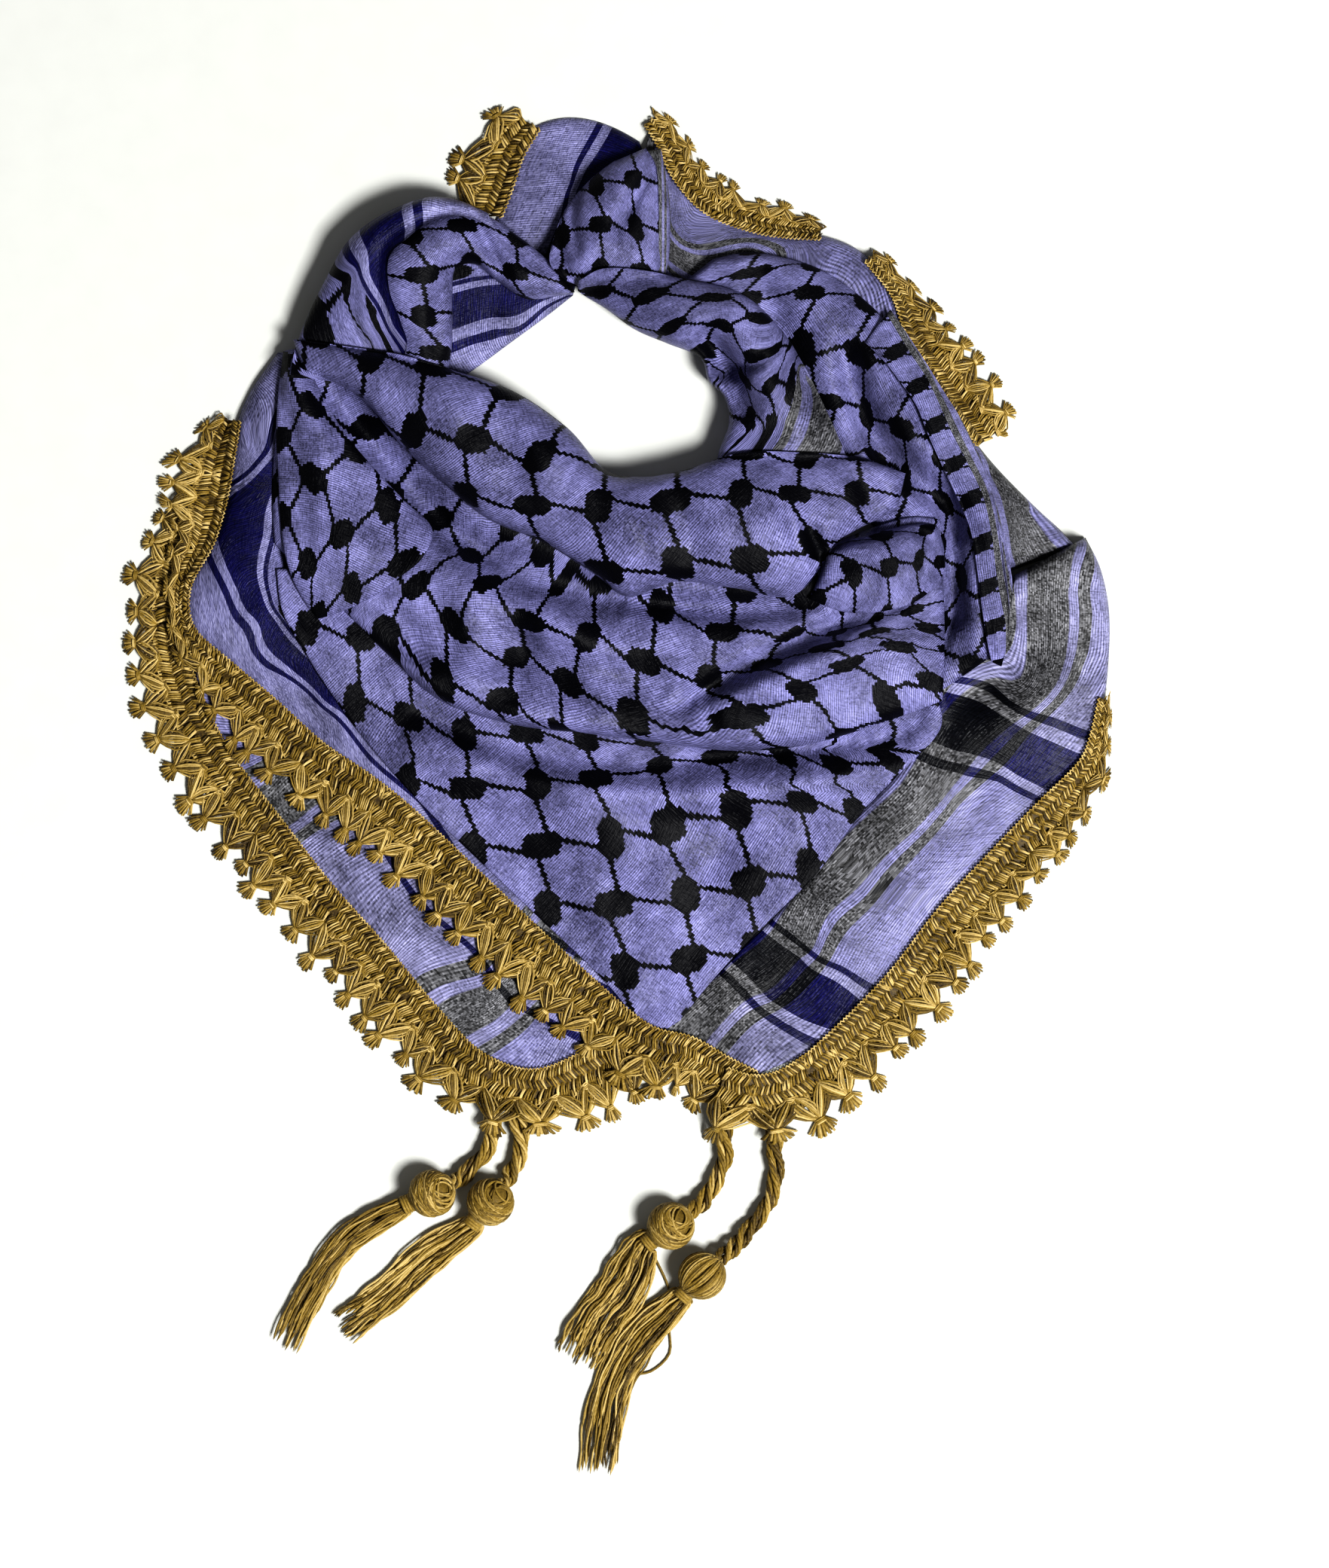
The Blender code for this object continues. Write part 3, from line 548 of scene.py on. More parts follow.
@dataclass(frozen=True)
class Roll(Stretch):
    """A rolled stretch, whose rows are rings and whose hidden layers fill one rounded body."""

    GIRTH = 1.35  # the cloth half way round a ring, over the ring's width

    def rings(self) -> tuple[Grid, Grid, Grid]:
        """Gives the rings' table, and their middles and widths in plan."""
        rows = np.array([(*r.first, *r.last, r.side, r.crest) for r in self.rows], float)
        return rows, (rows[:, :2] + rows[:, 2:4]) / 2, np.linalg.norm(rows[:, :2] - rows[:, 2:4], axis=1)

    def cut(self) -> tuple[float, float]:
        """Gives the flat cloth's width and length, in metres, half way round and along its rings."""
        _, middle, wide = self.rings()
        _, length = spaced_fractions(middle, 1)
        return float(wide.mean()) * self.GIRTH * MM, length * MM

    def plan(self) -> tuple[Grid, Grid, Grid]:
        """Lays out the roll's grid; the height is the place across it, from 0 to pi."""
        rows, middle, wide = self.rings()
        _, length = spaced_fractions(middle, 1)
        nu, nv = round(length / PITCH), 2 * round(wide.mean() * 1.3 / PITCH / 2)
        u, _ = spaced_fractions(middle, nu)
        row = smooth_rows(rows, u)[:, None, :]
        turn = np.linspace(0, np.pi, nv + 1)[None, :]
        v = (1 - np.cos(turn)) / 2
        x = row[..., 0] * (1 - v) + row[..., 2] * v
        y = row[..., 1] * (1 - v) + row[..., 3] * v
        return x, y, np.broadcast_to(turn, x.shape)

    def build(self, table: TableTop, finish: bpy.types.Material) -> bpy.types.Object:
        """Lays the roll on what is there.

        Args:
            table: what is there.
            finish: the woven cloth.

        Returns:
            The piece.
        """
        rows, middle, _ = self.rings()
        x, y, turn = self.plan()
        u, _ = spaced_fractions(middle, x.shape[0] - 1)
        row = smooth_rows(rows, u)[:, None, :]
        side, crest = row[..., 4], row[..., 5]
        ends = np.linspace(0, 1, x.shape[0])[:, None]
        length = len(ends) * PITCH
        close = np.clip(np.minimum(ends, 1 - ends) * length / self.nose, 0, 1)
        close = np.sqrt(1 - (1 - close) ** 2)
        round_up = np.sin(turn) ** 0.8
        floor = table.under(x, y, 3) + 0.2
        low = side - side * np.sin(turn) ** 0.5
        under = settle(low, floor, 2)
        folds = crease_height(self.creases, x, y)
        uneven = self.wrinkle * unevenness(x, y, self.seed)
        wanted = side + (crest - side) * round_up + (folds + uneven) * np.sqrt(round_up)
        top = settle(wanted, under + 0.05, 2)
        gap = top - under
        top = under + gap * close + 0.02
        points = np.stack([x, y, top], axis=-1)
        table.lay(points)
        return self.dress(x, y, under, points, finish)


class YarnWork:
    """Gathers yarns in one mesh, each with its own depth of colour."""

    SIDES = 5

    def __init__(self) -> None:
        """Starts with no yarn."""
        self.bm = bmesh.new()
        self.tones: list = []

    def yarn(self, route: Grid, radius: float, tone: float, steps: int) -> None:
        """Adds a yarn.

        Args:
            route: the points it runs through.
            radius: half its thickness.
            tone: its depth of colour, from 0, dark, to 1, light.
            steps: its rings.
        """
        places = np.concatenate([[0], np.linspace(0.02, 0.98, steps - 1), [1]])
        line = smooth_rows(np.array(route, float), places)
        way = unit(np.gradient(line, axis=0), 1e-9)
        across = unit(np.cross(way, (0.0, 0.0, 1.0)), 1e-9)
        rise = np.cross(across, way)
        made = bmesh.ops.create_grid(self.bm, x_segments=steps, y_segments=self.SIDES, size=0.5)
        for v in made["verts"]:
            i, j = round((v.co.x + 0.5) * steps), round((v.co.y + 0.5) * self.SIDES) % self.SIDES
            turn = 2 * np.pi * j / self.SIDES
            wide = radius * (0.0 if i in (0, steps) else 1.0)
            v.co = Vector(line[i] + (across[i] * np.cos(turn) + rise[i] * np.sin(turn)) * wide)
        self.tones += [tone] * len(made["verts"])

    def to_mesh(self) -> tuple[bpy.types.Mesh, Grid]:
        """Gives the yarns as a mesh, with a depth of colour for each vertex."""
        mesh = bpy.data.meshes.new("yarns")
        self.bm.to_mesh(mesh)
        self.bm.free()
        return mesh, np.array(self.tones)


def yarn_object(name: str, bm: bmesh.types.BMesh, tones: Grid, finish: bpy.types.Material) -> bpy.types.Object:
    """Turns yarns into an object with closed seams and a colour attribute.

    Args:
        name: the piece's name.
        bm: the yarns, in the tables' frame.
        tones: the depth of colour of each vertex.
        finish: the yarn's material.

    Returns:
        The object.
    """
    layer = bm.verts.layers.float.new("tone")
    for v, tone in zip(bm.verts, tones):
        v[layer] = tone
    bmesh.ops.remove_doubles(bm, verts=bm.verts, dist=0.002)
    bmesh.ops.recalc_face_normals(bm, faces=bm.faces)
    return object_of(name, bm, finish)


class CrochetUnit:
    """One repeat of the crocheted edge: stitches by the hem, a fan of yarns, its tie and its tuft.

    X runs along the hem, Y away from it and Z up, all in millimetres.
    """

    WIDTH = 13.0
    BAND = 12.0
    TIE = 24.5
    TIP = 31.0
    YARN = 0.42

    def __init__(self, seed: int) -> None:
        """Makes the repeat, uneven in its own way for each seed."""
        self.random = np.random.default_rng(seed)
        self.work = YarnWork()
        self.band()
        self.leaf(self.jitter(0.8), -1)
        self.leaf(self.WIDTH + self.jitter(0.8), 1)
        self.filling()
        self.tuft()
        self.mesh, self.tones = self.work.to_mesh()

    def jitter(self, size: float) -> float:
        """Gives a small uneven amount."""
        return float(self.random.uniform(-size, size))

    def band(self) -> None:
        """A chain along the hem, then three rows of slanting stitches, each of two strands."""
        for k in range(7):
            x = k * self.WIDTH / 7 + self.jitter(0.2)
            self.work.yarn(((x, -1.6, 1.4), (x + 0.5, -2.6, 2.2), (x + 1.6, -2.4, 2.3), (x + 2.2, -1.0, 1.6)),
                           self.YARN, 0.7 + self.jitter(0.25), 4)
        for start, end, lean in ((-1.6, 3.6, 2.0), (2.6, 7.8, -1.7), (6.8, 13.2, 2.0)):
            for k in range(12):
                x = (k + self.jitter(0.25)) * self.WIDTH / 12
                slant = lean + self.jitter(0.6)
                top = 2.4 + self.jitter(0.5)
                low, high = start + self.jitter(0.5), end + self.jitter(0.5)
                self.work.yarn(((x, low, 1.0), (x + slant * 0.3, low * 0.7 + high * 0.3, top),
                                (x + slant * 0.8, low * 0.3 + high * 0.7, top), (x + slant, high, 1.0)),
                               self.YARN * 1.1, 0.5 + self.jitter(0.5), 4)

    def leaf(self, root: float, side: int) -> None:
        """A swelling bundle of strands from a root to the tie.

        Args:
            root: where it leaves the band.
            side: 1 if it leans towards the start of the hem, or -1.
        """
        high = 2.6 + self.jitter(0.5)
        goal = self.WIDTH / 2
        for k in range(10):
            share = k / 4.5 - 1
            swell = 3.9 * share - 0.2 * side + self.jitter(0.5)
            lift = high + 1.2 * (1 - abs(share)) + self.jitter(0.3)
            near, far = root * 0.75 + goal * 0.25, root * 0.35 + goal * 0.65
            self.work.yarn((
                (root + 0.5 * share, 11.6 + self.jitter(0.5), 1.4),
                (near + swell, 16.2 + 0.9 * share * side, lift),
                (far + swell * 0.8, 20.8 + 0.5 * share * side, lift),
                (goal + 0.5 * share, self.TIE + self.jitter(0.6), 1.8),
            ), self.YARN, 0.5 + self.jitter(0.45), 6)

    def filling(self) -> None:
        """Loops between the roots, and strands that cross over each root."""
        for k in range(5):
            share = k / 4 - 0.5
            x = self.WIDTH / 2 + 5.0 * share + self.jitter(0.6)
            self.work.yarn((
                (x, 11.4, 1.0), (x + self.jitter(0.9), 15.0, 1.9), (self.WIDTH / 2 + 3.2 * share, 20.0, 2.1),
                (self.WIDTH / 2 + share, self.TIE, 1.6),
            ), self.YARN, 0.4 + self.jitter(0.4), 6)
        for k in range(8):
            x = self.WIDTH / 2 + (k - 3.5) * 1.25 + self.jitter(0.3)
            far = 15.4 + self.jitter(1.2)
            self.work.yarn((
                (x - 0.8, 11.5, 1.0), (x - 0.4, far - 0.6, 1.9), (x + 0.6, far, 1.9), (x + 0.9, 11.8, 1.0),
            ), self.YARN, 0.45 + self.jitter(0.4), 5)
        for k in range(6):
            x = (k - 2.5) * 1.0 + self.jitter(0.3)
            far = 19.5 - abs(k - 2.5) + self.jitter(0.8)
            self.work.yarn((
                (x * 0.6, 11.5, 1.0), (x * 1.5 - 0.5, far - 2.5, 2.1), (x * 1.5, far, 1.9),
                (x * 1.5 + 0.7, far - 2.6, 1.6), (x * 0.7, 12.0, 0.9),
            ), self.YARN, 0.42 + self.jitter(0.4), 7)
        for k in range(4):
            y = 11.4 + 0.8 * k
            self.work.yarn((
                (-2.2, y - 0.5, 1.2), (-0.6, y, 2.9), (1.0, y + 0.4, 2.9), (2.4, y + self.jitter(1.2), 1.2),
            ), self.YARN, 0.6 + self.jitter(0.35), 4)

    def tuft(self) -> None:
        """The tie, and the cut ends in a round bobble below it."""
        middle = self.WIDTH / 2
        for k in range(3):
            y = self.TIE + 0.7 * k - 0.5
            self.work.yarn((
                (middle - 1.9, y, 1.0), (middle - 1.5, y, 2.7), (middle, y + 0.3, 3.5), (middle + 1.5, y, 2.7),
                (middle + 1.9, y, 1.0),
            ), self.YARN, 0.6 + self.jitter(0.35), 5)
        for k in range(14):
            share = k / 13 - 0.5
            reach = self.TIP - 5.2 * share**2 * 2 + self.jitter(0.9)
            lift = 1.4 + 2.6 * self.random.random()
            self.work.yarn((
                (middle + share * 2.8, self.TIE - 0.3, 2.0), (middle + share * 7.4, self.TIE + 2.2, lift + 0.9),
                (middle + share * 8.8 + self.jitter(0.5), reach, lift * 0.7),
            ), self.YARN * 1.05, 0.42 + self.jitter(0.38), 3)


@dataclass(frozen=True)
class CrochetEdge:
    """A stretch of the crocheted edge.

    Attributes:
        node: the solid it stands for.
        edges: the hem's points, with the crochet's reach from each.
        side: 1 if it reaches to the right of the hem's way, or -1.
    """

    node: str
    edges: tuple
    side: int
    seed: int

    def build(self, table: TableTop, units: list, finish: bpy.types.Material) -> bpy.types.Object:
        """Lays the repeats along the hem.

        Args:
            table: what is there.
            units: the repeats to choose from.
            finish: the yarn.

        Returns:
            The piece.
        """
        rows = np.array(self.edges, float)
        _, length = spaced_fractions(rows[:, :2], 1)
        count = max(2, round(length / CrochetUnit.WIDTH))
        random = np.random.default_rng(self.seed)
        bm = bmesh.new()
        spots, tones = [], []
        for k in range(count):
            unit = units[random.integers(len(units))]
            bm.from_mesh(unit.mesh)
            own = np.array([v.co for v in unit.mesh.vertices])
            if random.random() < 0.5:
                own[:, 0] = CrochetUnit.WIDTH - own[:, 0]
            far = np.clip((own[:, 1] - CrochetUnit.BAND) / 14, 0, 1.5)
            own[:, 0] += far * random.uniform(-2.6, 2.6)
            own[:, 1] += far * random.uniform(-2.6, 1.4)
            own[:, 0] += k * CrochetUnit.WIDTH
            spots.append(own)
            tones.append(unit.tones + random.uniform(-0.08, 0.08))
        spots, tones = np.concatenate(spots), np.concatenate(tones)
        points = self.bend(spots, rows, count, table)
        for v, point in zip(bm.verts, points):
            v.co = Vector(point)
        painted_shade_backing = self.painted_shade_backing(bm, rows, count, table)
        table.lay_points(np.concatenate([points, painted_shade_backing]))
        # the backing's dark tone of 0.06 is painted shade for the gaps of the crochet, over the real stitches under
        # the band
        return yarn_object(f"{self.node}_crochet", bm, np.concatenate([tones, np.full(len(painted_shade_backing), 0.06)]), finish)

    def bend(self, spots: Grid, rows: Grid, count: int, table: TableTop) -> Grid:
        """Bends places on a straight edge along the hem.

        Args:
            spots: the places, with X along the hem and Y away from it.
            rows: the hem's table.
            count: the repeats along it.
            table: what it is laid on.

        Returns:
            A point for each place.
        """
        u, _ = spaced_fractions(rows[:, :2], count * 6)
        line = smooth_rows(rows, u)
        way = unit(np.gradient(line[:, :2], axis=0))
        out = np.stack([way[:, 1], -way[:, 0]], axis=1) * self.side
        at = spots[:, 0] / CrochetUnit.WIDTH * 6
        steps = np.arange(len(line))
        spot = np.stack([np.interp(at, steps, line[:, k]) for k in (0, 1)], axis=1)
        before, after = np.minimum(at, 0)[:, None], np.maximum(at - steps[-1], 0)[:, None]
        spot += before * (line[1] - line[0])[:2] + after * (line[-1] - line[-2])[:2]
        normal = unit(np.stack([np.interp(at, steps, out[:, k]) for k in (0, 1)], axis=1))
        reach = np.interp(at, steps, line[:, 2])
        band = np.minimum(CrochetUnit.BAND, 0.42 * reach)
        y = spots[:, 1]
        inner = y / CrochetUnit.BAND * band
        outer = band + (y - CrochetUnit.BAND) / (CrochetUnit.TIP - CrochetUnit.BAND) * (reach - band)
        plan = spot + normal * np.where(y < 0, y, np.where(y < CrochetUnit.BAND, inner, outer))[:, None]
        low = table.under(plan[:, 0], plan[:, 1], 2)
        return np.column_stack([plan, low + spots[:, 2] * 0.9])

    def painted_shade_backing(self, bm: bmesh.types.BMesh, rows: Grid, count: int, table: TableTop) -> Grid:
        """Adds the dense stitches that lie under the band's upper ones, as a dark layer that is partly those stitches
        and partly painted shade in the gaps between the fans.

        Args:
            bm: the piece's mesh.
            rows, count, table: as for bend.

        Returns:
            The points that were added.
        """
        made = bmesh.ops.create_grid(bm, x_segments=count * 4, y_segments=6, size=0.5)["verts"]
        spots = np.array([(v.co.x + 0.5, v.co.y + 0.5, 0) for v in made])
        spots[:, 0] *= count * CrochetUnit.WIDTH
        spots[:, 1] = spots[:, 1] * 19.8 - 1.8
        spots[:, 2] = 1.3 - 1.0 * (spots[:, 1] > 9)
        points = self.bend(spots, rows, count, table)
        for v, point in zip(made, points):
            v.co = Vector(point)
        return points


class Winding(Enum):
    """How the yarn is wound on a tassel's ball."""

    ROUND = "round its top"
    LENGTHWISE = "from cord to skirt"


@dataclass(frozen=True)
class Tassel:
    """A twisted cord, a wound ball and a skirt of yarn ends.

    Attributes:
        name: its solids' name.
        cord: the cord's route in plan.
        ball: the ball's middle.
        skirt: the skirt's route in plan.
        spread: the skirt's width at its end.
        winding: how its ball is wound.
        strays: routes of yarns that hang apart.
    """

    name: str
    cord: tuple
    ball: tuple
    skirt: tuple
    spread: float
    winding: Winding
    strays: tuple = ()

    RADIUS = 10.4
    YARN = 0.78

    def build(self, finish: bpy.types.Material) -> list:
        """Makes the tassel.

        Args:
            finish: the yarn.

        Returns:
            Its head and its skirt.
        """
        random = np.random.default_rng(sum(map(ord, self.name)))
        head, skirt = YarnWork(), YarnWork()
        self.twist(head, random)
        self.wind(head, random)
        self.loose(skirt, random)
        made = []
        for part, work in (("head", head), ("skirt", skirt)):
            tones = np.array(work.tones)
            made.append(yarn_object(f"{self.name}_{part}_yarn", work.bm, tones, finish))
        return made

    def way(self) -> tuple[Grid, Grid, Grid]:
        """Gives the ball's middle, and the ways to the cord and to the skirt."""
        middle = np.array(self.ball, float)
        to_cord, to_skirt = (unit(np.array(end, float) - middle) for end in (self.cord[-1], self.skirt[0]))
        return middle, to_cord, to_skirt

    def twist(self, work: YarnWork, random: np.random.Generator) -> None:
        """Twists the cord's yarns together."""
        middle, to_cord, _ = self.way()
        end = middle + to_cord * (self.RADIUS - 1.5)
        route = [(*p, 5.0) for p in self.cord] + [(*end, 9.0)]
        steps = 26
        line = smooth_rows(np.array(route, float), np.linspace(0, 1, steps))
        way = unit(np.gradient(line, axis=0))
        across = np.cross(way, (0.0, 0.0, 1.0))
        rise = np.cross(across, way)
        run = np.linspace(0, 1, steps)[:, None]
        length = np.linalg.norm(np.diff(line, axis=0), axis=1).sum()
        for ply in range(3):
            for k in range(5):
                turn = 2 * np.pi * (ply / 3 + run * length / 34)
                own = 2 * np.pi * (k / 4 + run * length / 15)
                bundle = 2.4 + 0.5 * np.sin(9 * run + ply)
                small = 0.0 if k == 4 else 1.25
                side = bundle * np.cos(turn) + small * np.cos(own) + random.uniform(-0.2, 0.2)
                up = bundle * 0.8 * np.sin(turn) + small * np.sin(own) + random.uniform(-0.2, 0.2)
                work.yarn(line + across * side + rise * up, self.YARN, 0.45 + random.uniform(-0.4, 0.4), 30)

    def wind(self, work: YarnWork, random: np.random.Generator) -> None:
        """Winds the ball over its core, with a collar below."""
        middle, to_cord, to_skirt = self.way()
        centre = np.array([*middle, self.RADIUS + 0.9])
        core = bmesh.ops.create_uvsphere(work.bm, u_segments=16, v_segments=10, radius=self.RADIUS - 0.8)["verts"]
        for v in core:
            v.co += Vector(centre)
        work.tones += [0.25] * len(core)
        turns = np.linspace(0, 2 * np.pi, 29)[:, None]
        for k in range(64):
            if self.winding is Winding.ROUND:
                pole = np.array([*(-to_skirt * 0.75), 0.7]) + random.uniform(-0.45, 0.45, 3)
                high = self.RADIUS * random.uniform(-0.85, 0.85)
            else:
                lean = np.pi * k / 64 + random.uniform(-0.05, 0.05)
                pole = np.array([*(np.array([to_cord[1], -to_cord[0]]) * np.cos(lean)), np.sin(lean)])
                pole += random.uniform(-0.12, 0.12, 3)
                high = random.uniform(-1.0, 1.0)
            pole = unit(pole)
            side = unit(np.cross(pole, (0.31, 0.95, 0.05)))
            other = np.cross(pole, side)
            begun = turns + random.uniform(0, 2 * np.pi)
            route = pole * high + (side * np.cos(begun) + other * np.sin(begun)) * np.sqrt(self.RADIUS**2 - high**2)
            route *= 1 + random.uniform(-0.03, 0.03)
            work.yarn(centre + route, self.YARN * 0.7, 0.45 + random.uniform(-0.3, 0.3), 26)
        for k in range(4):
            spot = np.array([*(middle + to_skirt * (self.RADIUS + 0.2 + 1.3 * k)), 8.0 - 0.5 * k])
            wide = np.array([to_skirt[1], -to_skirt[0], 0.0])
            up = np.array([0.0, 0.0, 1.0])
            work.yarn(spot + (wide * np.cos(turns) + up * np.sin(turns)) * 3.9, self.YARN, 0.5, 20)

    def loose(self, work: YarnWork, random: np.random.Generator) -> None:
        """Lets the skirt's yarns fall from the collar, with the strays."""
        middle, _, to_skirt = self.way()
        start = middle + to_skirt * (self.RADIUS + 1.0)
        route = [start, start + to_skirt * 5, *np.array(self.skirt[1:], float)]
        run = np.linspace(0, 1, 44)
        base = smooth_rows(np.array(route), run)
        way = unit(np.gradient(base, axis=0))
        across = np.column_stack([way[:, 1], -way[:, 0]])
        for k in range(52):
            share, layer = (k % 5) / 5 - 0.4 + random.uniform(-0.12, 0.12), random.random()
            wide = 5.6 + (self.spread - 5.6) * np.minimum(1, run * 2.2)
            wave = random.uniform(0.5, 1.7) * np.sin(run * random.uniform(8, 17) + random.uniform(0, 6.3)) * run**0.7
            kink = random.uniform(0.15, 0.5) * np.sin(run * random.uniform(30, 48) + random.uniform(0, 6.3))
            side = wide * share + wave + kink
            high = (9.5 - 5.0 * np.minimum(1, run * 2.0)) * (0.35 + 0.65 * layer) * (1 - 0.35 * run) + 0.6
            high += 0.5 * np.sin(run * random.uniform(6, 12) + random.uniform(0, 6.3)) * run
            line = np.column_stack([base + across * side[:, None], np.maximum(high, 0.9)])
            short = random.uniform(0.84, 1.0)
            work.yarn(smooth_rows(line, run * short), self.YARN * 0.72, 0.46 + random.uniform(-0.42, 0.42), 42)
        for stray in self.strays:
            work.yarn(stray, 0.6, 0.3, 16)


@dataclass(frozen=True)
class WovenCotton:
    """Fine cotton sateen, yarn-dyed and woven, with a net of thick black yarn woven over it.

    The two thread directions keep their own colours, so stripes that cross mix, and the black yarn floats in
    steps, which gives the net its toothed outline. Mercerised thread glints where it bends over another; here that
    glint is painted into the colour, as painted highlight ribs in patches, with broad painted lighter and darker
    patches of sheen and shade. Real threads are 0.4 mm apart; they are drawn 0.8 mm apart so that they show.
    """

    name: str = "yarn_dyed_cotton_sateen"
    ground: str = "636286"
    pale: str = "706f8c"
    navy: str = "100f3a"
    crossed: str = "090a10"
    black: str = "030309"
    ink: str = "27272a"
    thread: float = 0.8
    tooth: float = 1.3

    RAMP = 80.0  # the distance that the stripes' ramp spans
    LINK = 0.036  # half a link's width, in repeats of the net
    CHECKED = 66.0  # where the border ends and the net starts
    GREY_STRIPES = ((0, 0), (28.5, 1), (33.5, 0), (38, 1), (57, 0), (62, 1), (66, 0.5))
    NAVY_STRIPES = ((0, 0), (28, 1), (31.5, 0), (36.5, 1), (56.5, 0), (61.5, 1), (65, 0.5))

    def make(self) -> bpy.types.Material:
        """Makes the material.

        Returns:
            The material.
        """
        made, tree = blank_material(self.name)
        place = add(tree, "UVMap", uv_map="cloth")
        cell = add(tree, "VectorMath", {0: place, 1: (self.thread,) * 3}, operation="SNAP")
        chance = add(tree, "TexWhiteNoise", {"Vector": cell}, noise_dimensions="3D")
        parts = add(tree, "SeparateXYZ", {0: place})
        across = add(tree, "Math", {0: parts}, operation="ABSOLUTE")
        along = parts.node.outputs["Y"]
        grey = self.stripes(tree, across, self.GREY_STRIPES)
        navy = self.stripes(tree, along, self.NAVY_STRIPES)
        one = self.slubs(tree, place, (0.12, 1.3, 1))
        other = self.slubs(tree, place, (1.3, 0.12, 1))
        dyed = grey.node.outputs["Alpha"], navy.node.outputs["Alpha"]
        cover = add(tree, "Math", {0: dyed[0], 1: -0.18, 2: 0.2}, operation="MULTIPLY_ADD")
        cover = add(tree, "Math", {0: dyed[1], 1: 0.7, 2: cover}, operation="MULTIPLY_ADD")
        apart = add(tree, "MapRange", {0: dyed[0], 3: 0.6, 4: 0.45})
        shows = add(tree, "Math", {0: chance, 1: apart, 2: cover}, operation="MULTIPLY_ADD", use_clamp=True)
        cloth = add(tree, "MixRGB", {
            0: shows, 1: self.threads(tree, grey, one, self.ink), 2: self.threads(tree, navy, other, self.navy)})
        colourful = add(tree, "MapRange", {0: dyed[0], 3: 1.0, 4: 0.16})
        cloth = add(tree, "HueSaturation", {"Saturation": colourful, "Color": cloth})
        crossing = add(tree, "Math", {0: dyed[0], 1: dyed[1]}, operation="MULTIPLY")
        cloth = add(tree, "MixRGB", {0: crossing, 1: cloth, 2: linear(self.crossed)})
        net = self.net(tree, place, across, along)
        # the cloth's colour is scaled by painted sheen and shade, and by each thread crossing's own depth
        cloth = add(tree, "VectorMath", {0: cloth, 3: self.painted_light_and_thread_depth(tree, place, chance)}, operation="SCALE")
        colour = add(tree, "MixRGB", {0: net, 1: cloth, 2: linear(self.black)})
        rough = add(tree, "MapRange", {0: net, 3: 0.4, 4: 0.5})
        weave = add(tree, "MixRGB", {0: chance, 1: one, 2: other})
        raised = add(tree, "Math", {0: net, 1: 0.7, 2: weave}, operation="MULTIPLY_ADD")
        bump = add(tree, "Bump", {"Strength": 0.6, "Distance": 0.0004, "Height": raised})
        shader = add(tree, "BsdfPrincipled", {
            "Base Color": colour, "Roughness": rough, "Normal": bump, "Sheen Weight": 0.02,
            "Sheen Roughness": 0.3, "Sheen Tint": linear("c9c7f0"), "Specular IOR Level": 0.14})
        add(tree, "OutputMaterial", {"Surface": shader})
        return made

    @staticmethod
    def painted_light_and_thread_depth(tree: bpy.types.NodeTree, place: Socket, chance: Socket) -> Socket:
        """Paints sheen and shade into the colour: painted highlight patches, where each thread shows as a bright rib,
        and the plainer cloth between, with broad painted lighter and darker patches.

        Args:
            tree: the material's tree.
            place: the cloth place.
            chance: each thread crossing's own depth.

        Returns:
            How much the painted sheen and shade and each crossing's own depth brighten or darken the cloth.
        """
        # painted highlight: a bright rib on each thread, strongest inside the painted sheen patches
        painted_rib_highlight = add(tree, "TexWave", {
            "Vector": place, "Scale": 0.29, "Distortion": 1.2, "Detail": 1.0, "Detail Scale": 0.5},
            wave_type="BANDS", bands_direction="X").node.outputs["Fac"]
        painted_sheen_patch = add(tree, "TexNoise", {"Vector": place, "Scale": 0.06, "Detail": 2.0})
        painted_sheen_patch = add(tree, "MapRange", {0: painted_sheen_patch, 1: 0.4, 2: 0.62, 3: 0.25, 4: 1.0})
        painted_sheen_and_shade = add(tree, "Math", {0: painted_rib_highlight, 1: painted_sheen_patch}, operation="MULTIPLY")
        painted_sheen_and_shade = add(tree, "Math", {0: painted_sheen_and_shade, 1: 1.3, 2: 0.4}, operation="MULTIPLY_ADD")
        # painted light and shade: broad lighter and darker patches, laid at random over the cloth
        broad_painted_light = add(tree, "TexNoise", {"Vector": place, "Scale": 0.017, "Detail": 2.0})
        broad_painted_light = add(tree, "MapRange", {0: broad_painted_light, 1: 0.35, 2: 0.65, 3: -0.24, 4: 0.3})
        painted_sheen_and_shade = add(tree, "Math", {0: painted_sheen_and_shade, 1: broad_painted_light}, operation="ADD")
        return add(tree, "Math", {0: chance, 1: 0.6, 2: painted_sheen_and_shade}, operation="MULTIPLY_ADD")

    @staticmethod
    def stripes(tree: bpy.types.NodeTree, distance: Socket, bands: tuple) -> Socket:
        """Finds the stripe at a distance from the square's edge.

        Args:
            tree: the material's tree.
            distance: in millimetres.
            bands: where each stripe starts, and 0 for pale, 0.5 for the ground and 1 for the dyed threads.

        Returns:
            A socket whose node gives the kind as a grey, and whose Alpha is 1 on the dyed threads.
        """
        span = WovenCotton.RAMP
        place = add(tree, "MapRange", {0: distance, 2: span})
        ramp = add(tree, "ValToRGB", {0: place})
        scale = ramp.node.color_ramp
        scale.interpolation = "CONSTANT"
        for start, _ in bands[2:]:
            scale.elements.new(start / span)
        for element, (start, kind) in zip(scale.elements, bands):
            element.position = start / span
            element.color = (kind, kind, kind, float(kind == 1))
        return ramp

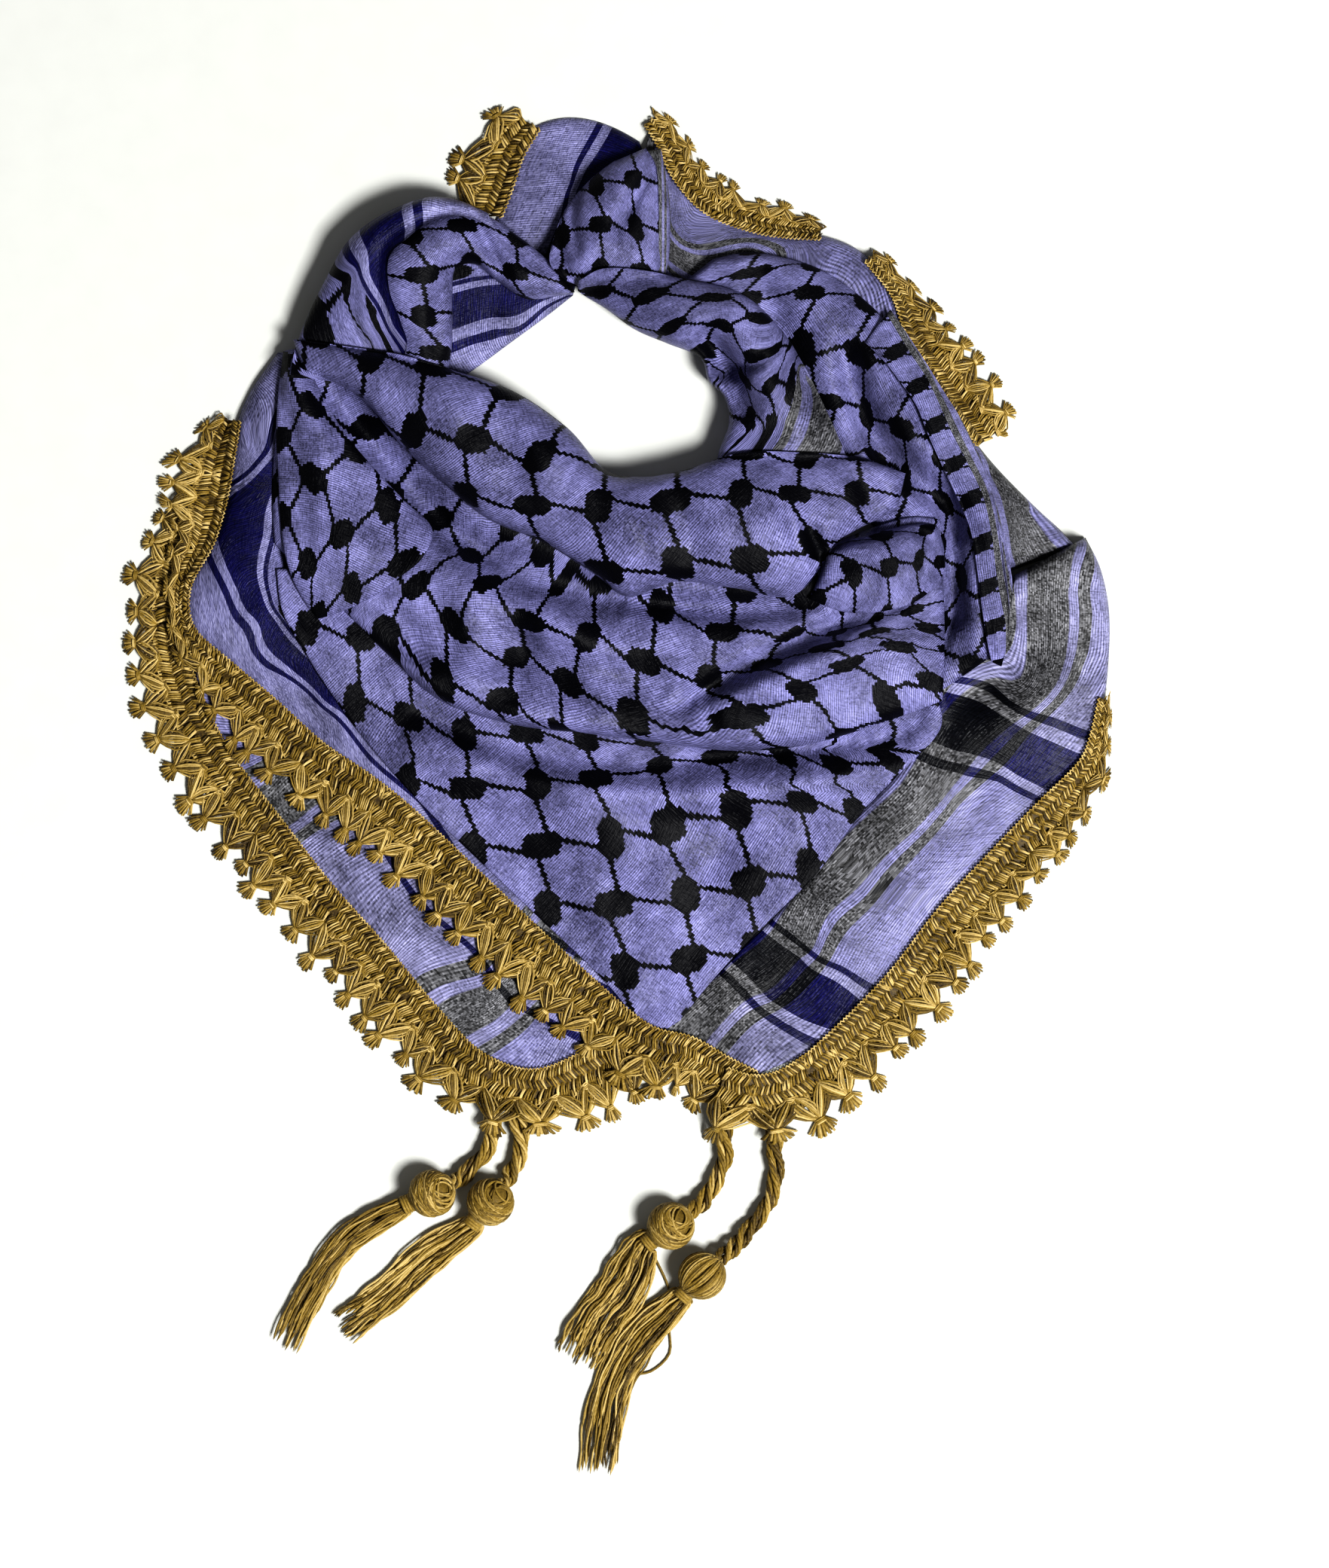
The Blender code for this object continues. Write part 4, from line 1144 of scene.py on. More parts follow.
    def threads(self, tree: bpy.types.NodeTree, kind: Socket, slubs: Socket, dyed: str) -> Socket:
        """Colours one direction's threads.

        Args:
            tree: the material's tree.
            kind: their stripe.
            slubs: their unevenness, from 0 to 1.
            dyed: the stripe's colour.

        Returns:
            The colour.
        """
        step = add(tree, "Math", {0: kind, 1: 0.25}, operation="GREATER_THAN")
        plain = add(tree, "MixRGB", {0: step, 1: linear(self.pale), 2: linear(self.ground)})
        dyed_too = add(tree, "MixRGB", {0: kind.node.outputs["Alpha"], 1: plain, 2: linear(dyed)})
        depth = add(tree, "MapRange", {0: slubs, 3: 0.5, 4: 1.5})
        return add(tree, "VectorMath", {0: dyed_too, 3: depth}, operation="SCALE")

    @staticmethod
    def slubs(tree: bpy.types.NodeTree, place: Socket, scale: tuple) -> Socket:
        """Makes the uneven thickness of threads that run one way, from 0 to 1."""
        turned = add(tree, "Mapping", {"Vector": place, "Scale": scale})
        noisy = add(tree, "TexNoise", {"Vector": turned, "Scale": 1.0, "Detail": 2.0})
        return add(tree, "MapRange", {0: noisy, 1: 0.3, 2: 0.7})

    def net(self, tree: bpy.types.NodeTree, place: Socket, across: Socket, along: Socket) -> Socket:
        """Draws the black net: upright and lying knots in turn, and the toothed links between them.

        Args:
            tree: the material's tree.
            place, across, along: the cloth place, and its two parts.

        Returns:
            1 on the black yarn, and 0 elsewhere.
        """
        counted = add(tree, "VectorMath", {0: place, 1: (HOME % SPREAD, HOME % SPREAD, 0)}, operation="SUBTRACT")
        steps = add(tree, "VectorMath", {0: counted, 1: (self.tooth,) * 3}, operation="SNAP")
        grid = add(tree, "Mapping", {
            "Vector": steps, "Scale": (2**0.5 / TILE,) * 3, "Rotation": (0, 0, np.radians(225))})
        nearest = add(tree, "VectorMath", {0: grid, 1: (0.5, 0.5, 0.5)}, operation="ADD")
        nearest = add(tree, "VectorMath", {0: nearest}, operation="FLOOR")
        local = add(tree, "VectorMath", {0: grid, 1: nearest}, operation="SUBTRACT")
        half = add(tree, "VectorMath", {0: nearest, 1: (0.5, 0.5, 0)}, operation="DOT_PRODUCT").node.outputs["Value"]
        half = add(tree, "Math", {0: half}, operation="FRACT")
        lying = add(tree, "Math", {0: half, 1: 0.25}, operation="GREATER_THAN")
        sizes = add(tree, "Mix", {0: lying, 4: (4.87, 3.51, 0), 5: (3.6, 4.79, 0)},
                    data_type="VECTOR").node.outputs[1]
        part = add(tree, "VectorMath", {0: local, 1: sizes}, operation="MULTIPLY")
        square = add(tree, "VectorMath", {0: part, 1: part}, operation="MULTIPLY")
        oval = add(tree, "VectorMath", {0: square, 1: (0.5, 0.5, 0)}, operation="DOT_PRODUCT").node.outputs["Value"]
        block = add(tree, "VectorMath", {0: square, 1: square}, operation="DOT_PRODUCT").node.outputs["Value"]
        knot_edge = add(tree, "Math", {0: block, 1: 0.5, 2: oval}, operation="MULTIPLY_ADD")
        found = add(tree, "Math", {0: knot_edge, 1: 1.0}, operation="LESS_THAN")
        run = add(tree, "SeparateXYZ", {0: add(tree, "VectorMath", {0: grid}, operation="FRACTION")})
        side = add(tree, "SeparateXYZ", {0: local})
        upright = side.node.outputs["Y"], run, 0.30, -0.14
        level = side, run.node.outputs["Y"], 0.22, -0.10
        for offset, way, lean, start in (upright, level):
            middle = add(tree, "Math", {0: way, 1: lean, 2: start}, operation="MULTIPLY_ADD")
            link = add(tree, "Math", {0: offset, 1: middle, 2: self.LINK}, operation="COMPARE")
            found = add(tree, "Math", {0: found, 1: link}, operation="MAXIMUM")
        for distance in (across, along):
            inside = add(tree, "Math", {0: distance, 1: self.CHECKED}, operation="GREATER_THAN")
            found = add(tree, "Math", {0: found, 1: inside}, operation="MULTIPLY")
        return found


@dataclass(frozen=True)
class CottonYarn:
    """Thick mercerised cotton yarn, plied and dyed old gold, crocheted and wound by hand.

    Each strand takes the light in its own way, so strands differ in depth, and the ply gives fine dark lines.
    """

    name: str = "gold_cotton_yarn"
    dark: str = "36280c"
    middle: str = "8b732f"
    light: str = "cbb47a"

    def make(self) -> bpy.types.Material:
        """Makes the material.

        Returns:
            The material.
        """
        made, tree = blank_material(self.name)
        tone = add(tree, "Attribute", attribute_name="tone").node.outputs["Fac"]
        place = add(tree, "TexCoord").node.outputs["Object"]
        fuzz = add(tree, "TexNoise", {"Vector": place, "Scale": 900.0, "Detail": 2.0})
        depth = add(tree, "Math", {0: fuzz, 1: 0.5, 2: -0.25}, operation="MULTIPLY_ADD")
        depth = add(tree, "Math", {0: depth, 1: tone}, operation="ADD")
        ramp = add(tree, "ValToRGB", {0: depth})
        scale = ramp.node.color_ramp
        scale.elements.new(0.5)
        for element, (spot, code) in zip(scale.elements, ((0, self.dark), (0.48, self.middle), (1, self.light))):
            element.position, element.color = spot, linear(code)
        bump = add(tree, "Bump", {"Strength": 0.5, "Distance": 0.0003, "Height": fuzz})
        shader = add(tree, "BsdfPrincipled", {
            "Base Color": ramp, "Roughness": 0.62, "Normal": bump, "Sheen Weight": 0.15, "Sheen Roughness": 0.4,
            "Sheen Tint": linear("f0dcae"), "Specular IOR Level": 0.35})
        add(tree, "OutputMaterial", {"Surface": shader})
        return made


@dataclass(frozen=True)
class Studio:
    """The pale table top, the light over it and the camera straight above.

    Attributes:
        aim: the point the camera looks down on, in metres from the origin.
        height: of the camera above the table top.
        view: the longer side of what it sees at the table top.
        board, board_light: the table top's two shades.
        board_half: half its side, in metres.
        key_place, key_side, key_power: where the light hangs and its side, in metres, and its power in watts.
        sky: how bright the room round it is.
    """

    aim: tuple = (0.02166, 0.00482)
    height: float = 3.0
    view: float = 0.7287
    board: str = "c9cac5"
    board_light: str = "cfd0cb"
    board_half: float = 2.0
    key_place: tuple = (1.7, -1.24, 3.4)
    key_side: float = 0.95
    key_power: float = 215
    sky: float = 0.15

    def floor(self) -> None:
        """Makes the table top of smooth white-painted board, which scatters nearly all light."""
        bm = bmesh.new()
        bmesh.ops.create_grid(bm, x_segments=2, y_segments=2, size=self.board_half)
        mesh = bpy.data.meshes.new("table_top")
        bm.to_mesh(mesh)
        bm.free()
        made, tree = blank_material("painted_board")
        place = add(tree, "TexCoord").node.outputs["Object"]
        mottle = add(tree, "TexNoise", {"Vector": place, "Scale": 60.0, "Detail": 4.0})
        colour = add(tree, "MixRGB", {0: mottle, 1: linear(self.board), 2: linear(self.board_light)})
        shader = add(tree, "BsdfPrincipled", {"Base Color": colour, "Roughness": 0.85})
        add(tree, "OutputMaterial", {"Surface": shader})
        mesh.materials.append(made)
        link_object("table_top", mesh)

    def light(self) -> None:
        """Hangs the one soft square light, which faces the scarf."""
        lamp = bpy.data.lights.new("key", "AREA")
        lamp.shape, lamp.size, lamp.energy = "SQUARE", self.key_side, self.key_power
        made = link_object("key", lamp)
        made.location = self.key_place
        made.rotation_euler = (-Vector(self.key_place)).to_track_quat("-Z", "Y").to_euler()

    def build(self) -> None:
        """Sets up the table top, the light and the camera."""
        scene = bpy.context.scene
        scene.view_settings.view_transform = "Standard"
        scene.view_settings.look = "High Contrast"
        self.floor()
        self.light()
        scene.world = bpy.data.worlds.new("studio")
        scene.world.use_nodes = True
        sky = scene.world.node_tree.nodes["Background"]
        sky.inputs["Color"].default_value = linear("ffffff")
        sky.inputs["Strength"].default_value = self.sky
        lens = bpy.data.cameras.new("camera")
        lens.lens = 36 * self.height / self.view
        lens.clip_end = 20
        scene.camera = link_object("camera", lens)
        scene.camera.location = (*self.aim, self.height)


def knots(*places: tuple) -> tuple:
    """Pins for several knots of the net."""
    return tuple(knot(*place) for place in places)


def stripe(distance: float, start: float, *points: tuple, navy: bool = False, way: int = 1) -> tuple:
    """Pins along a stripe.

    Args:
        distance: the stripe's distance from the striped edge.
        start: its first point's distance from the other edge.
        points: plan points along it.
        navy: whether it is measured from the navy edge, and not the grey one.
        way: 1 if the other distance grows along it, or -1.

    Returns:
        The pins.
    """
    run = np.concatenate([[0], np.cumsum(np.linalg.norm(np.diff(np.array(points, float), axis=0), axis=1))])
    other = [start + way * float(s) for s in run]
    return tuple(Pin(x, y, o, distance) if navy else Pin(x, y, distance, o) for (x, y), o in zip(points, other))


LOWER_LAYER_PINS = tuple(Pin(*row) for row in (
    (-184, 19, 75, 2), (-165, 5, 57, 6), (-155, 14, 57, 20), (-150, -12, 38, 10), (-140, -4, 38, 22),
    (-147, -18, 31, 6), (-134, -10, 31, 20), (-126, -34, 12, 10), (-112, -71, -8, 2), (-94, -50, -8, 30),
    (-95, -85, -29, 2), (-75, -78, -29, 20), (-88, -100, -38, 0), (-62, -88, -38, 26), (-72, -112, -57, 2),
    (-52, -98, -57, 28), (-62, -118, -64, 2), (-45, -106, -64, 24), (-40, -130, -80, 6), (-20, -118, -90, 26),
    (-203, 52, 100, 2), (-204, 84, 130, 2), (-150, 40, 100, 48), (-160, 80, 130, 45), (-60, -40, -12, 70),
    (20, -60, -90, 90), (20, -100, -100, 60),
))
LEFT_END_PINS = (
    *stripe(28, 200, (-12, 311), (-20, 296), (-24, 282), (-28, 270), navy=True),
    *stripe(36, 200, (-5, 310), (-12, 297), (-18, 288), (-22, 280), navy=True),
    *stripe(56, 200, (12, 302), (6, 290), (-2, 278), navy=True),
    *stripe(4, 200, (-38, 309), (-48, 290), (-56, 268), navy=True),
)
BACK_BORDER_PINS = (
    *stripe(30, 200, (18, 300), (20, 285), (22, 264), (27, 257), (36, 254), (60, 258), (75, 252)),
    *stripe(16, 200, (22, 292), (28, 278), (40, 266), (60, 262)),
    *stripe(50, 200, (13, 285), (17, 262), (26, 248), (42, 243), (60, 242)),
    *stripe(4, 290, (94, 259), (112, 251), (127, 232), (135, 208)),
    *stripe(22, 290, (80, 240), (98, 234), (112, 212), (120, 195)),
)
BACK_SIDE_PINS = (
    *stripe(66, 200, (155, 172), (161, 161), (165, 150), (168, 141), (171.5, 130), (174, 118), (175.5, 108)),
    *stripe(62, 200, (157, 171), (163, 161), (167, 150), (170.5, 140), (174.5, 128), (176.5, 116), (177.5, 108)),
    *stripe(57, 205, (162, 166), (167, 158), (170, 148), (175, 138), (178, 126), (179.5, 114)),
    *stripe(38, 212, (174, 158), (178.5, 149), (183, 141), (187, 132), (191, 126), (197, 118)),
    *stripe(33.5, 222, (180, 149), (188, 139.5), (193, 133), (199, 126), (205, 120)),
    *stripe(28.5, 232, (190, 140), (196, 134), (201, 128), (212, 119)),
    *stripe(40, 160, (142, 214), (148, 198), (160, 178)),
    *stripe(64, 160, (124, 212), (134, 196), (146, 178)),
)
INNER_BAND_PINS = (
    *stripe(56.5, 200, (-78, 232), (-60, 236), (-40, 237), (-22, 236), navy=True),
    *stripe(36.5, 200, (-78, 215.5), (-60, 221), (-40, 227), (-22, 234), navy=True),
    *stripe(31.5, 200, (-78, 210), (-60, 216), (-42, 221), navy=True),
    *stripe(28, 200, (-78, 204.5), (-60, 210), (-48, 214), navy=True),
    *stripe(16, 200, (-72, 195), (-56, 206), navy=True),
)
RIGHT_BORDER_PINS = tuple(Pin(*row) for row in (
    (93.3, -117.8, 12, 30), (78, -109.5, 20, 30), (68.4, -103.5, 28, 30), (57.8, -93.8, 39, 30),
    (47.1, -83.1, 57, 30), (102.4, -111, 8, 37), (83, -104, 22, 37), (67.8, -94.7, 36, 37), (51, -78, 58, 37),
    (112, -97.5, 8, 56.5), (82.7, -76, 38, 56.5), (65.4, -63.6, 60, 56.5), (119, -91, 6, 64), (101, -80, 25, 64),
    (84.5, -70.8, 43, 64), (69, -58.8, 60, 64), (101.3, -69, 28.5, 80), (95, -79.6, 28.5, 62),
    (116, -52.5, 28.5, 96), (134, -31.5, 28.5, 92), (155.5, -6.7, 28.5, 70), (93.8, -69, 33.5, 74),
    (87.5, -79.6, 33.5, 58), (112, -49, 33.5, 98), (130, -28, 33.5, 92), (151.5, -3.4, 33.5, 70),
    (95.1, -56.4, 38, 84), (118.2, -33.3, 38, 98), (136.9, -15.6, 38, 82), (150, -3, 37, 70), (100, -28, 54, 104),
    (129, 4, 57, 76), (148, -55, 2, 100), (170, -31, 2, 92), (197, -6, 4, 65), (175, 5.7, 25, 65),
    (154, 10.4, 42, 65), (139, 15, 55, 65), (201.6, -1.5, 5, 56.5), (182, 9.2, 24, 56.5), (154, 20, 46, 56.5),
    (217, 17, 8, 36.5), (190, 28, 28, 36.5), (165, 43, 52, 36.5), (221, 28, 10, 28), (200, 38, 28.5, 26),
    (174, 54, 57, 24), (226, 64, 20, 0), (214, 60, 28.5, 0), (184, 52, 57, 16), (225, 84, 20, -25),
    (218, 83, 28.5, -24), (211.5, 82, 33.5, -23), (207, 82, 38, -22), (187, 82, 57, -18), (182, 82, 62, -17),
    (178.5, 82, 66, -16), (223, 102, 21, -46), (218, 101, 28.5, -45), (211, 101, 33.5, -43), (207, 101, 38, -42),
    (187, 101, 57, -38), (182, 101, 62, -37), (178, 101, 66, -36),
))
SHOULDER_PINS = tuple(Pin(x, y, 8 + SPREAD * a, HOME + SPREAD * m) for x, y, a, m in (
    (110, 203, 4, 8), (128, 168, 4, 6), (150, 135, 4, 4), (158, 100, 4, 2), (165, 57, 4, 0), (114, 176, 5, 7),
    (88, 232, 4, 10), (62, 241, 4, 12), (84.5, 205, 5, 9), (59, 229, 5, 11), (96, 182, 6, 8), (122, 222, 2.8, 8.6),
    (140, 192, 2.8, 6.8), (102, 238, 2.8, 10), (35, 244, 4, 13.4), (147, 112, 5, 3), (148, 75, 5, 1),
))
RIDGE_PINS = tuple(Pin(x + side, y + side / 3, 8 + SPREAD * 3 - 1.25 * side, HOME + SPREAD * m) for x, y, m in (
    (127, 204, 9), (137, 188, 7), (145, 170, 5), (154, 152, 3), (161.5, 136, 1), (166, 115, -1), (168.5, 95, -3),
    (172, 77, -5), (173, 62, -6.6)) for side in (-5, 0, 6))
LEFT_BORDER_PINS = (
    *stripe(28, 200, (-97, -2), (-118, 16), (-135, 36), (-150, 50), (-165, 58), (-172, 66), (-180, 80), (-186, 95),
            (-192, 115), navy=True),
    *stripe(36.5, 240, (-131, 39), (-142, 48), (-158, 62), (-168, 80), (-178, 95), (-183, 105), (-186, 128),
            (-182, 138), (-160, 158), navy=True),
    *stripe(56.5, 245, (-131, 46), (-145, 62), (-155, 72), (-164, 84), (-169, 100), (-166, 120), (-162, 140),
            (-156, 155), navy=True),
    *stripe(20, 350, (-179, 152), (-175, 170), (-165, 185), (-155, 200), navy=True),
)
FIELD_PINS = knots(
    (-99, 4, -2, 0), (-72, 2, -1, 0), (-38, 4, 0, 0), (-12, 7, 1, 0), (17.5, 14, 2, 0), (45, 17, 3, 0), (76, 18, 4, 0),
    (99, 12, 5, 0), (124, 17, 6, 0), (-69, -27.5, -1, 1), (-37.5, -25, 0, 1), (-4.5, -22, 1, 1), (21, -17, 2, 1),
    (53, -8, 3, 1), (84, -4, 4, 1), (-34.5, -54, 0, 2), (-4.5, -52, 1, 2), (30, -47.5, 2, 2), (58.6, -42.7, 3, 2),
    (1.4, -83.8, 1, 3), (31, -77.5, 2, 3), (-124, 41, -3, -1), (-99, 35, -2, -1), (-73, 26, -1, -1),
    (-44, 27.5, 0, -1), (-17, 24, 1, -1), (15, 24, 2, -1), (-121, 72, -3, -2), (-146, 76, -4, -2),
)
COWL_PINS = knots(
    (-110, 76, -3, -2), (-96, 95, -3, -3), (-70, 110, -3, -4), (-83, 50, -2, -2), (-78, 77, -2, -3), (-63, 98, -2, -4),
    (-37, 110, -2, -5), (-55, 43, -1, -2), (-48, 63, -1, -3), (-44, 78, -1, -4), (-28, 98, -1, -5), (-26, 51, 0, -3),
    (-16, 72, 0, -4), (-8, 100, 0, -5), (-124, 50, -4, -2), (-140, 100, -5, -3),
    (124, 38, 4, -2), (143, 52, 5, -2), (4, 36, 1, -3), (58, 35, 2, -3), (84, 48, 3, -3), (107, 61, 4, -3),
    (130, 68, 5, -3), (10, 60, 1, -4), (40, 53, 2, -4), (66, 59, 3, -4), (90, 67, 4, -4), (112, 74, 5, -4),
    (18, 84, 1, -5), (46, 74, 2, -5), (80, 74, 3, -5), (100, 74, 4, -5), (118, 80, 5, -5),
    (132, 84, 6, -5), (55, 95, 2, -6), (86, 89, 3, -6), (105, 99, 4, -6), (124, 103, 5, -6), (139, 105, 6, -6),
)
FAN_PINS = knots(
    (90, 115, 4, -7), (107, 103, 4, -6), (123, 103, 5, -6), (137, 108, 6, -6), (141, 122, 6, -7), (90, 88, 3, -6),
    (104, 76, 4, -5), (121, 79, 5, -5), (137, 87, 6, -5), (146, 106, 7, -6), (120, 119, 5, -7), (150, 94, 7, -5),
)
SIDE_FOLD_PINS = knots(
    (-144, 179, 0, 1), (-121, 159, 1, 1), (-144, 146, 1, 2), (-109, 133, 2, 1), (-130, 119, 2, 2),
    (-145, 106, 2, 3), (-101, 106, 3, 1), (-126, 95, 3, 2), (-159, 163, 0, 2), (-159, 127, 1, 3),
)
FRONT_ROLL_PINS = knots(
    (-143, 212, -4, -9), (-115, 200, -3, -9), (-88, 196, -2, -9), (-51, 185, -1, -9), (-22, 171, 0, -9),
    (-96, 165, -2, -8), (-69, 162, -1, -8), (-39, 153, 0, -8), (85, 153, 4, -8), (-41, 132, 0, -7),
    (-11, 132, 1, -7), (22, 134, 2, -7), (55, 138, 3, -7), (78, 138, 4, -7), (108, 138, 5, -7),
    (-8, 101, 1, -6), (26, 104, 2, -6), (59, 106, 3, -6), (90, 115, 4, -6),
)
LEFT_ROLL_PINS = (
    Pin(-140, 212, 264, 93.4), Pin(-124, 239, 243, 72), Pin(-112, 210, 214, 80),
    *stripe(65, 225, (-129, 251), (-126, 244), (-121, 238), (-114, 226), (-108, 213), navy=True, way=-1),
    *stripe(59, 220, (-123, 257), (-119, 247), (-119, 239), (-113, 229), (-106, 214), navy=True, way=-1),
    *stripe(56.5, 220, (-121, 261), (-117, 250), (-116, 241), (-111, 230), (-104, 214), navy=True, way=-1),
    *stripe(36.5, 215, (-101, 271), (-100, 262), (-100, 256), navy=True, way=-1),
    *stripe(31.5, 215, (-97, 273), (-96, 266), navy=True, way=-1),
    *stripe(28, 215, (-91, 275), (-91, 267), navy=True, way=-1),
    Pin(-78, 272, 215, 12),
)
INNER_FOLD_PINS = knots(
    (-97, 257, 0, 0), (-90, 238, 0, 1), (-92, 219, 0, 2), (-84, 203, 0, 3), (-74, 262, 1, 0), (-70, 246, 1, 1),
    (-47, 256, 2, 0), (-50, 240, 2, 1), (-112, 250, -0.6, 0.2), (-104, 222, -0.5, 2), (-79, 222, 0.5, 2),
)
KNOT_PINS = knots(
    (-12, 280, 0, 0), (-9, 262, 0, 1), (6, 283, 1, 0), (6, 260, 1, 1), (-28, 257, -1, 1), (-10, 240, 0, 2),
    (8, 240, 1, 2),
)
KNOT_FOLD_PINS = (
    *stripe(60, 300, (11, 288), (11, 262), (11, 242)),
    *stripe(57, 300, (13, 288), (13, 262), (13, 242)),
    *stripe(42, 300, (17, 288), (17, 262), (17, 242)),
    *stripe(36, 300, (19, 288), (19, 262), (19, 242)),
)
RIGHT_ROLL_PINS = (
    *knots((-12, 232, 10, -1), (12, 229, 11, -1), (42, 228, 12, -1), (66, 219, 13, -1), (22, 214, 12, 0),
           (46, 216, 13, 0), (36, 204, 13, 1), (71, 204, 14, 0), (67, 186, 15, 1)),
    Pin(62, 167, 84, 690), Pin(81, 198, 66, 700), Pin(79, 185, 66, 713), Pin(75, 172, 66, 727), Pin(70, 160, 66, 740),
    Pin(85, 197, 62, 700), Pin(84, 185, 62, 713), Pin(81, 172, 62, 727), Pin(76, 160, 62, 740),
    Pin(89, 187, 57, 713), Pin(87, 173, 57, 727), Pin(82, 160, 57, 740), Pin(104, 163, 38, 740),
)

LOWER_LAYER = (
    Section((-204, 84, 1.5), (-162, 114, 3), (-118, 146, 5)),
    Section((-201, 52, 1.5), (-148, 88, 3), (-92, 126, 6)),
    Section((-184, 19, 1.5), (-124, 60, 3), (-62, 104, 7)),
    Section((-160, -13, 1.5), (-97, 30, 3), (-32, 78, 7)),
    Section((-136, -44, 1.5), (-69, 2, 3), (-3, 50, 6)),
    Section((-112, -71, 1.5), (-44, -26, 3), (22, 20, 5)),
    Section((-88, -100, 1.5), (-19, -53, 3), (43, -8, 4)),
    Section((-66, -122, 1.5), (0, -79, 2), (55, -35, 3)),
    Section((-40, -130, 1.5), (10, -97, 1.5), (60, -60, 2)),
    Section((-12, -119, 1.5), (22, -106, 1.5), (58, -84, 1.5)),
)

LEFT_END_FLAP = (
    Section((-44, 308, 2.5), (-20, 314, 4), (8, 303, 5)),
    Section((-48, 296, 3), (-20, 298, 7), (9, 296, 8)),
    Section((-53, 281, 3), (-28, 280, 8), (2, 280, 9)),
    Section((-59, 266, 3), (-35, 265, 8), (-5, 262, 9)),
    Section((-63, 250, 3), (-38, 248, 6), (-10, 246, 7)),
)

BACK_BORDER = (
    Section((150, 183, 7), (142, 186, 13), (132, 185, 13)),
    Section((135, 208, 7), (126, 211, 12), (115, 208, 12)),
    Section((127, 232, 7), (115, 231, 11), (102, 225, 11)),
    Section((112, 251, 7), (100, 242, 11), (88, 233, 10)),
    Section((94, 259, 5), (84, 247, 9), (74, 235, 9)),
    Section((76, 260, 4), (68, 248, 8), (60, 236, 8)),
    Section((60, 263, 3), (53, 247, 7), (45, 231, 7)),
    Section((40, 271, 2.5), (33, 252, 6), (26, 232, 6)),
    Section((26, 286, 2.5), (21, 262, 5), (16, 238, 5)),
    Section((18, 302, 2.5), (16, 287, 4), (13, 272, 4)),
    Section((13, 311, 2.5), (11, 300, 3), (9, 290, 3)),
)

BACK_SIDE = (
    Section((212, 114, 12), (190, 107, 16), (166, 98, 14)),
    Section((203, 123, 11), (183, 122, 17), (162, 118, 15)),
    Section((190, 135, 10), (174, 138, 17), (156, 138, 15)),
    Section((170, 156, 8), (159, 158, 15), (146, 158, 14)),
    Section((150, 183, 8), (142, 186, 14), (132, 185, 13)),
    Section((138, 203, 8), (130, 204, 13), (120, 202, 12)),
)

INNER_BACK_BAND = (
    Section((-88, 186, 3), (-88, 219, 6), (-88, 253, 8)),
    Section((-72, 195, 3), (-71, 223, 6), (-70, 252, 8)),
    Section((-50, 211, 3), (-49, 228, 6), (-48, 246, 8)),
    Section((-35, 222, 3), (-34, 231, 6), (-33, 241, 8)),
    Section((-23, 231.5, 3), (-22, 235, 6), (-21, 239, 7)),
)

RIGHT_SHOULDER = (
    Section((20, 230, 9), (32, 240, 14), (42, 248, 13)),
    Section((50, 222, 10), (58, 237, 19), (62, 251, 14)),
    Section((72, 204, 11), (84, 222, 22), (91, 243, 15)),
    Section((86, 186, 11), (102, 204, 22), (115, 226, 16)),
    Section((95, 166, 11), (115, 184, 21), (132, 206, 18)),
    Section((103, 146, 11), (127, 166, 21), (147, 184, 18)),
    Section((112, 130, 11), (137, 148, 21), (159, 163, 19)),
    Section((125, 114, 11), (147, 131, 20), (168, 142, 20)),
    Section((136, 98, 11), (156, 111, 21), (176, 120, 20)),
    Section((141, 78, 11), (159, 91, 20), (180, 98, 20)),
    Section((143, 60, 11), (159, 70, 18), (178, 80, 18)),
    Section((145, 46, 10), (157, 54, 14), (170, 63, 14)),
)

SHOULDER_RIDGE = (
    Ring((112, 208), (124, 224), 14, 18),
    Ring((121, 199), (132, 212), 15, 20),
    Ring((128, 190), (141, 198), 15, 22),
    Ring((135.5, 179), (149, 185), 15, 24),
    Ring((141.5, 164), (157, 172), 16, 25),
    Ring((148, 150), (164.5, 156), 16, 25),
    Ring((155, 136), (170.5, 141), 16, 25),
    Ring((160.5, 122), (174, 123), 16, 25),
    Ring((163.5, 104), (176.5, 105), 16, 25),
    Ring((165.5, 88), (178.5, 87), 15, 24),
    Ring((168, 72), (178, 70), 14, 22),
    Ring((170.5, 61), (175.5, 59), 12, 16),
)

LEFT_BORDER = (
    Section((-160, 205, 7), (-155, 205, 8), (-149, 205, 8)),
    Section((-172, 188, 6), (-163, 188, 9), (-151, 188, 9)),
    Section((-179, 172, 5), (-167, 172, 9), (-154, 172, 9)),
    Section((-182, 155, 5), (-169, 155, 9), (-155, 155, 9)),
    Section((-184, 138, 5), (-170, 138, 9), (-155, 138, 9)),
    Section((-190, 118, 6), (-174, 118, 10), (-156, 118, 9)),
    Section((-202, 96, 7), (-180, 98, 11), (-156, 102, 9)),
    Section((-200, 76, 7), (-178, 80, 11), (-152, 84, 9)),
    Section((-182, 59, 5), (-164, 64, 9), (-143, 70, 8)),
    Section((-162, 42, 4), (-147, 48, 7), (-131, 54, 7)),
    Section((-140, 22, 4), (-128, 30, 6), (-117, 36, 6)),
    Section((-118, 7, 4), (-109, 12, 5), (-100, 17, 5)),
    Section((-98, -8, 4), (-93, -3, 5), (-88, 2, 5)),
)

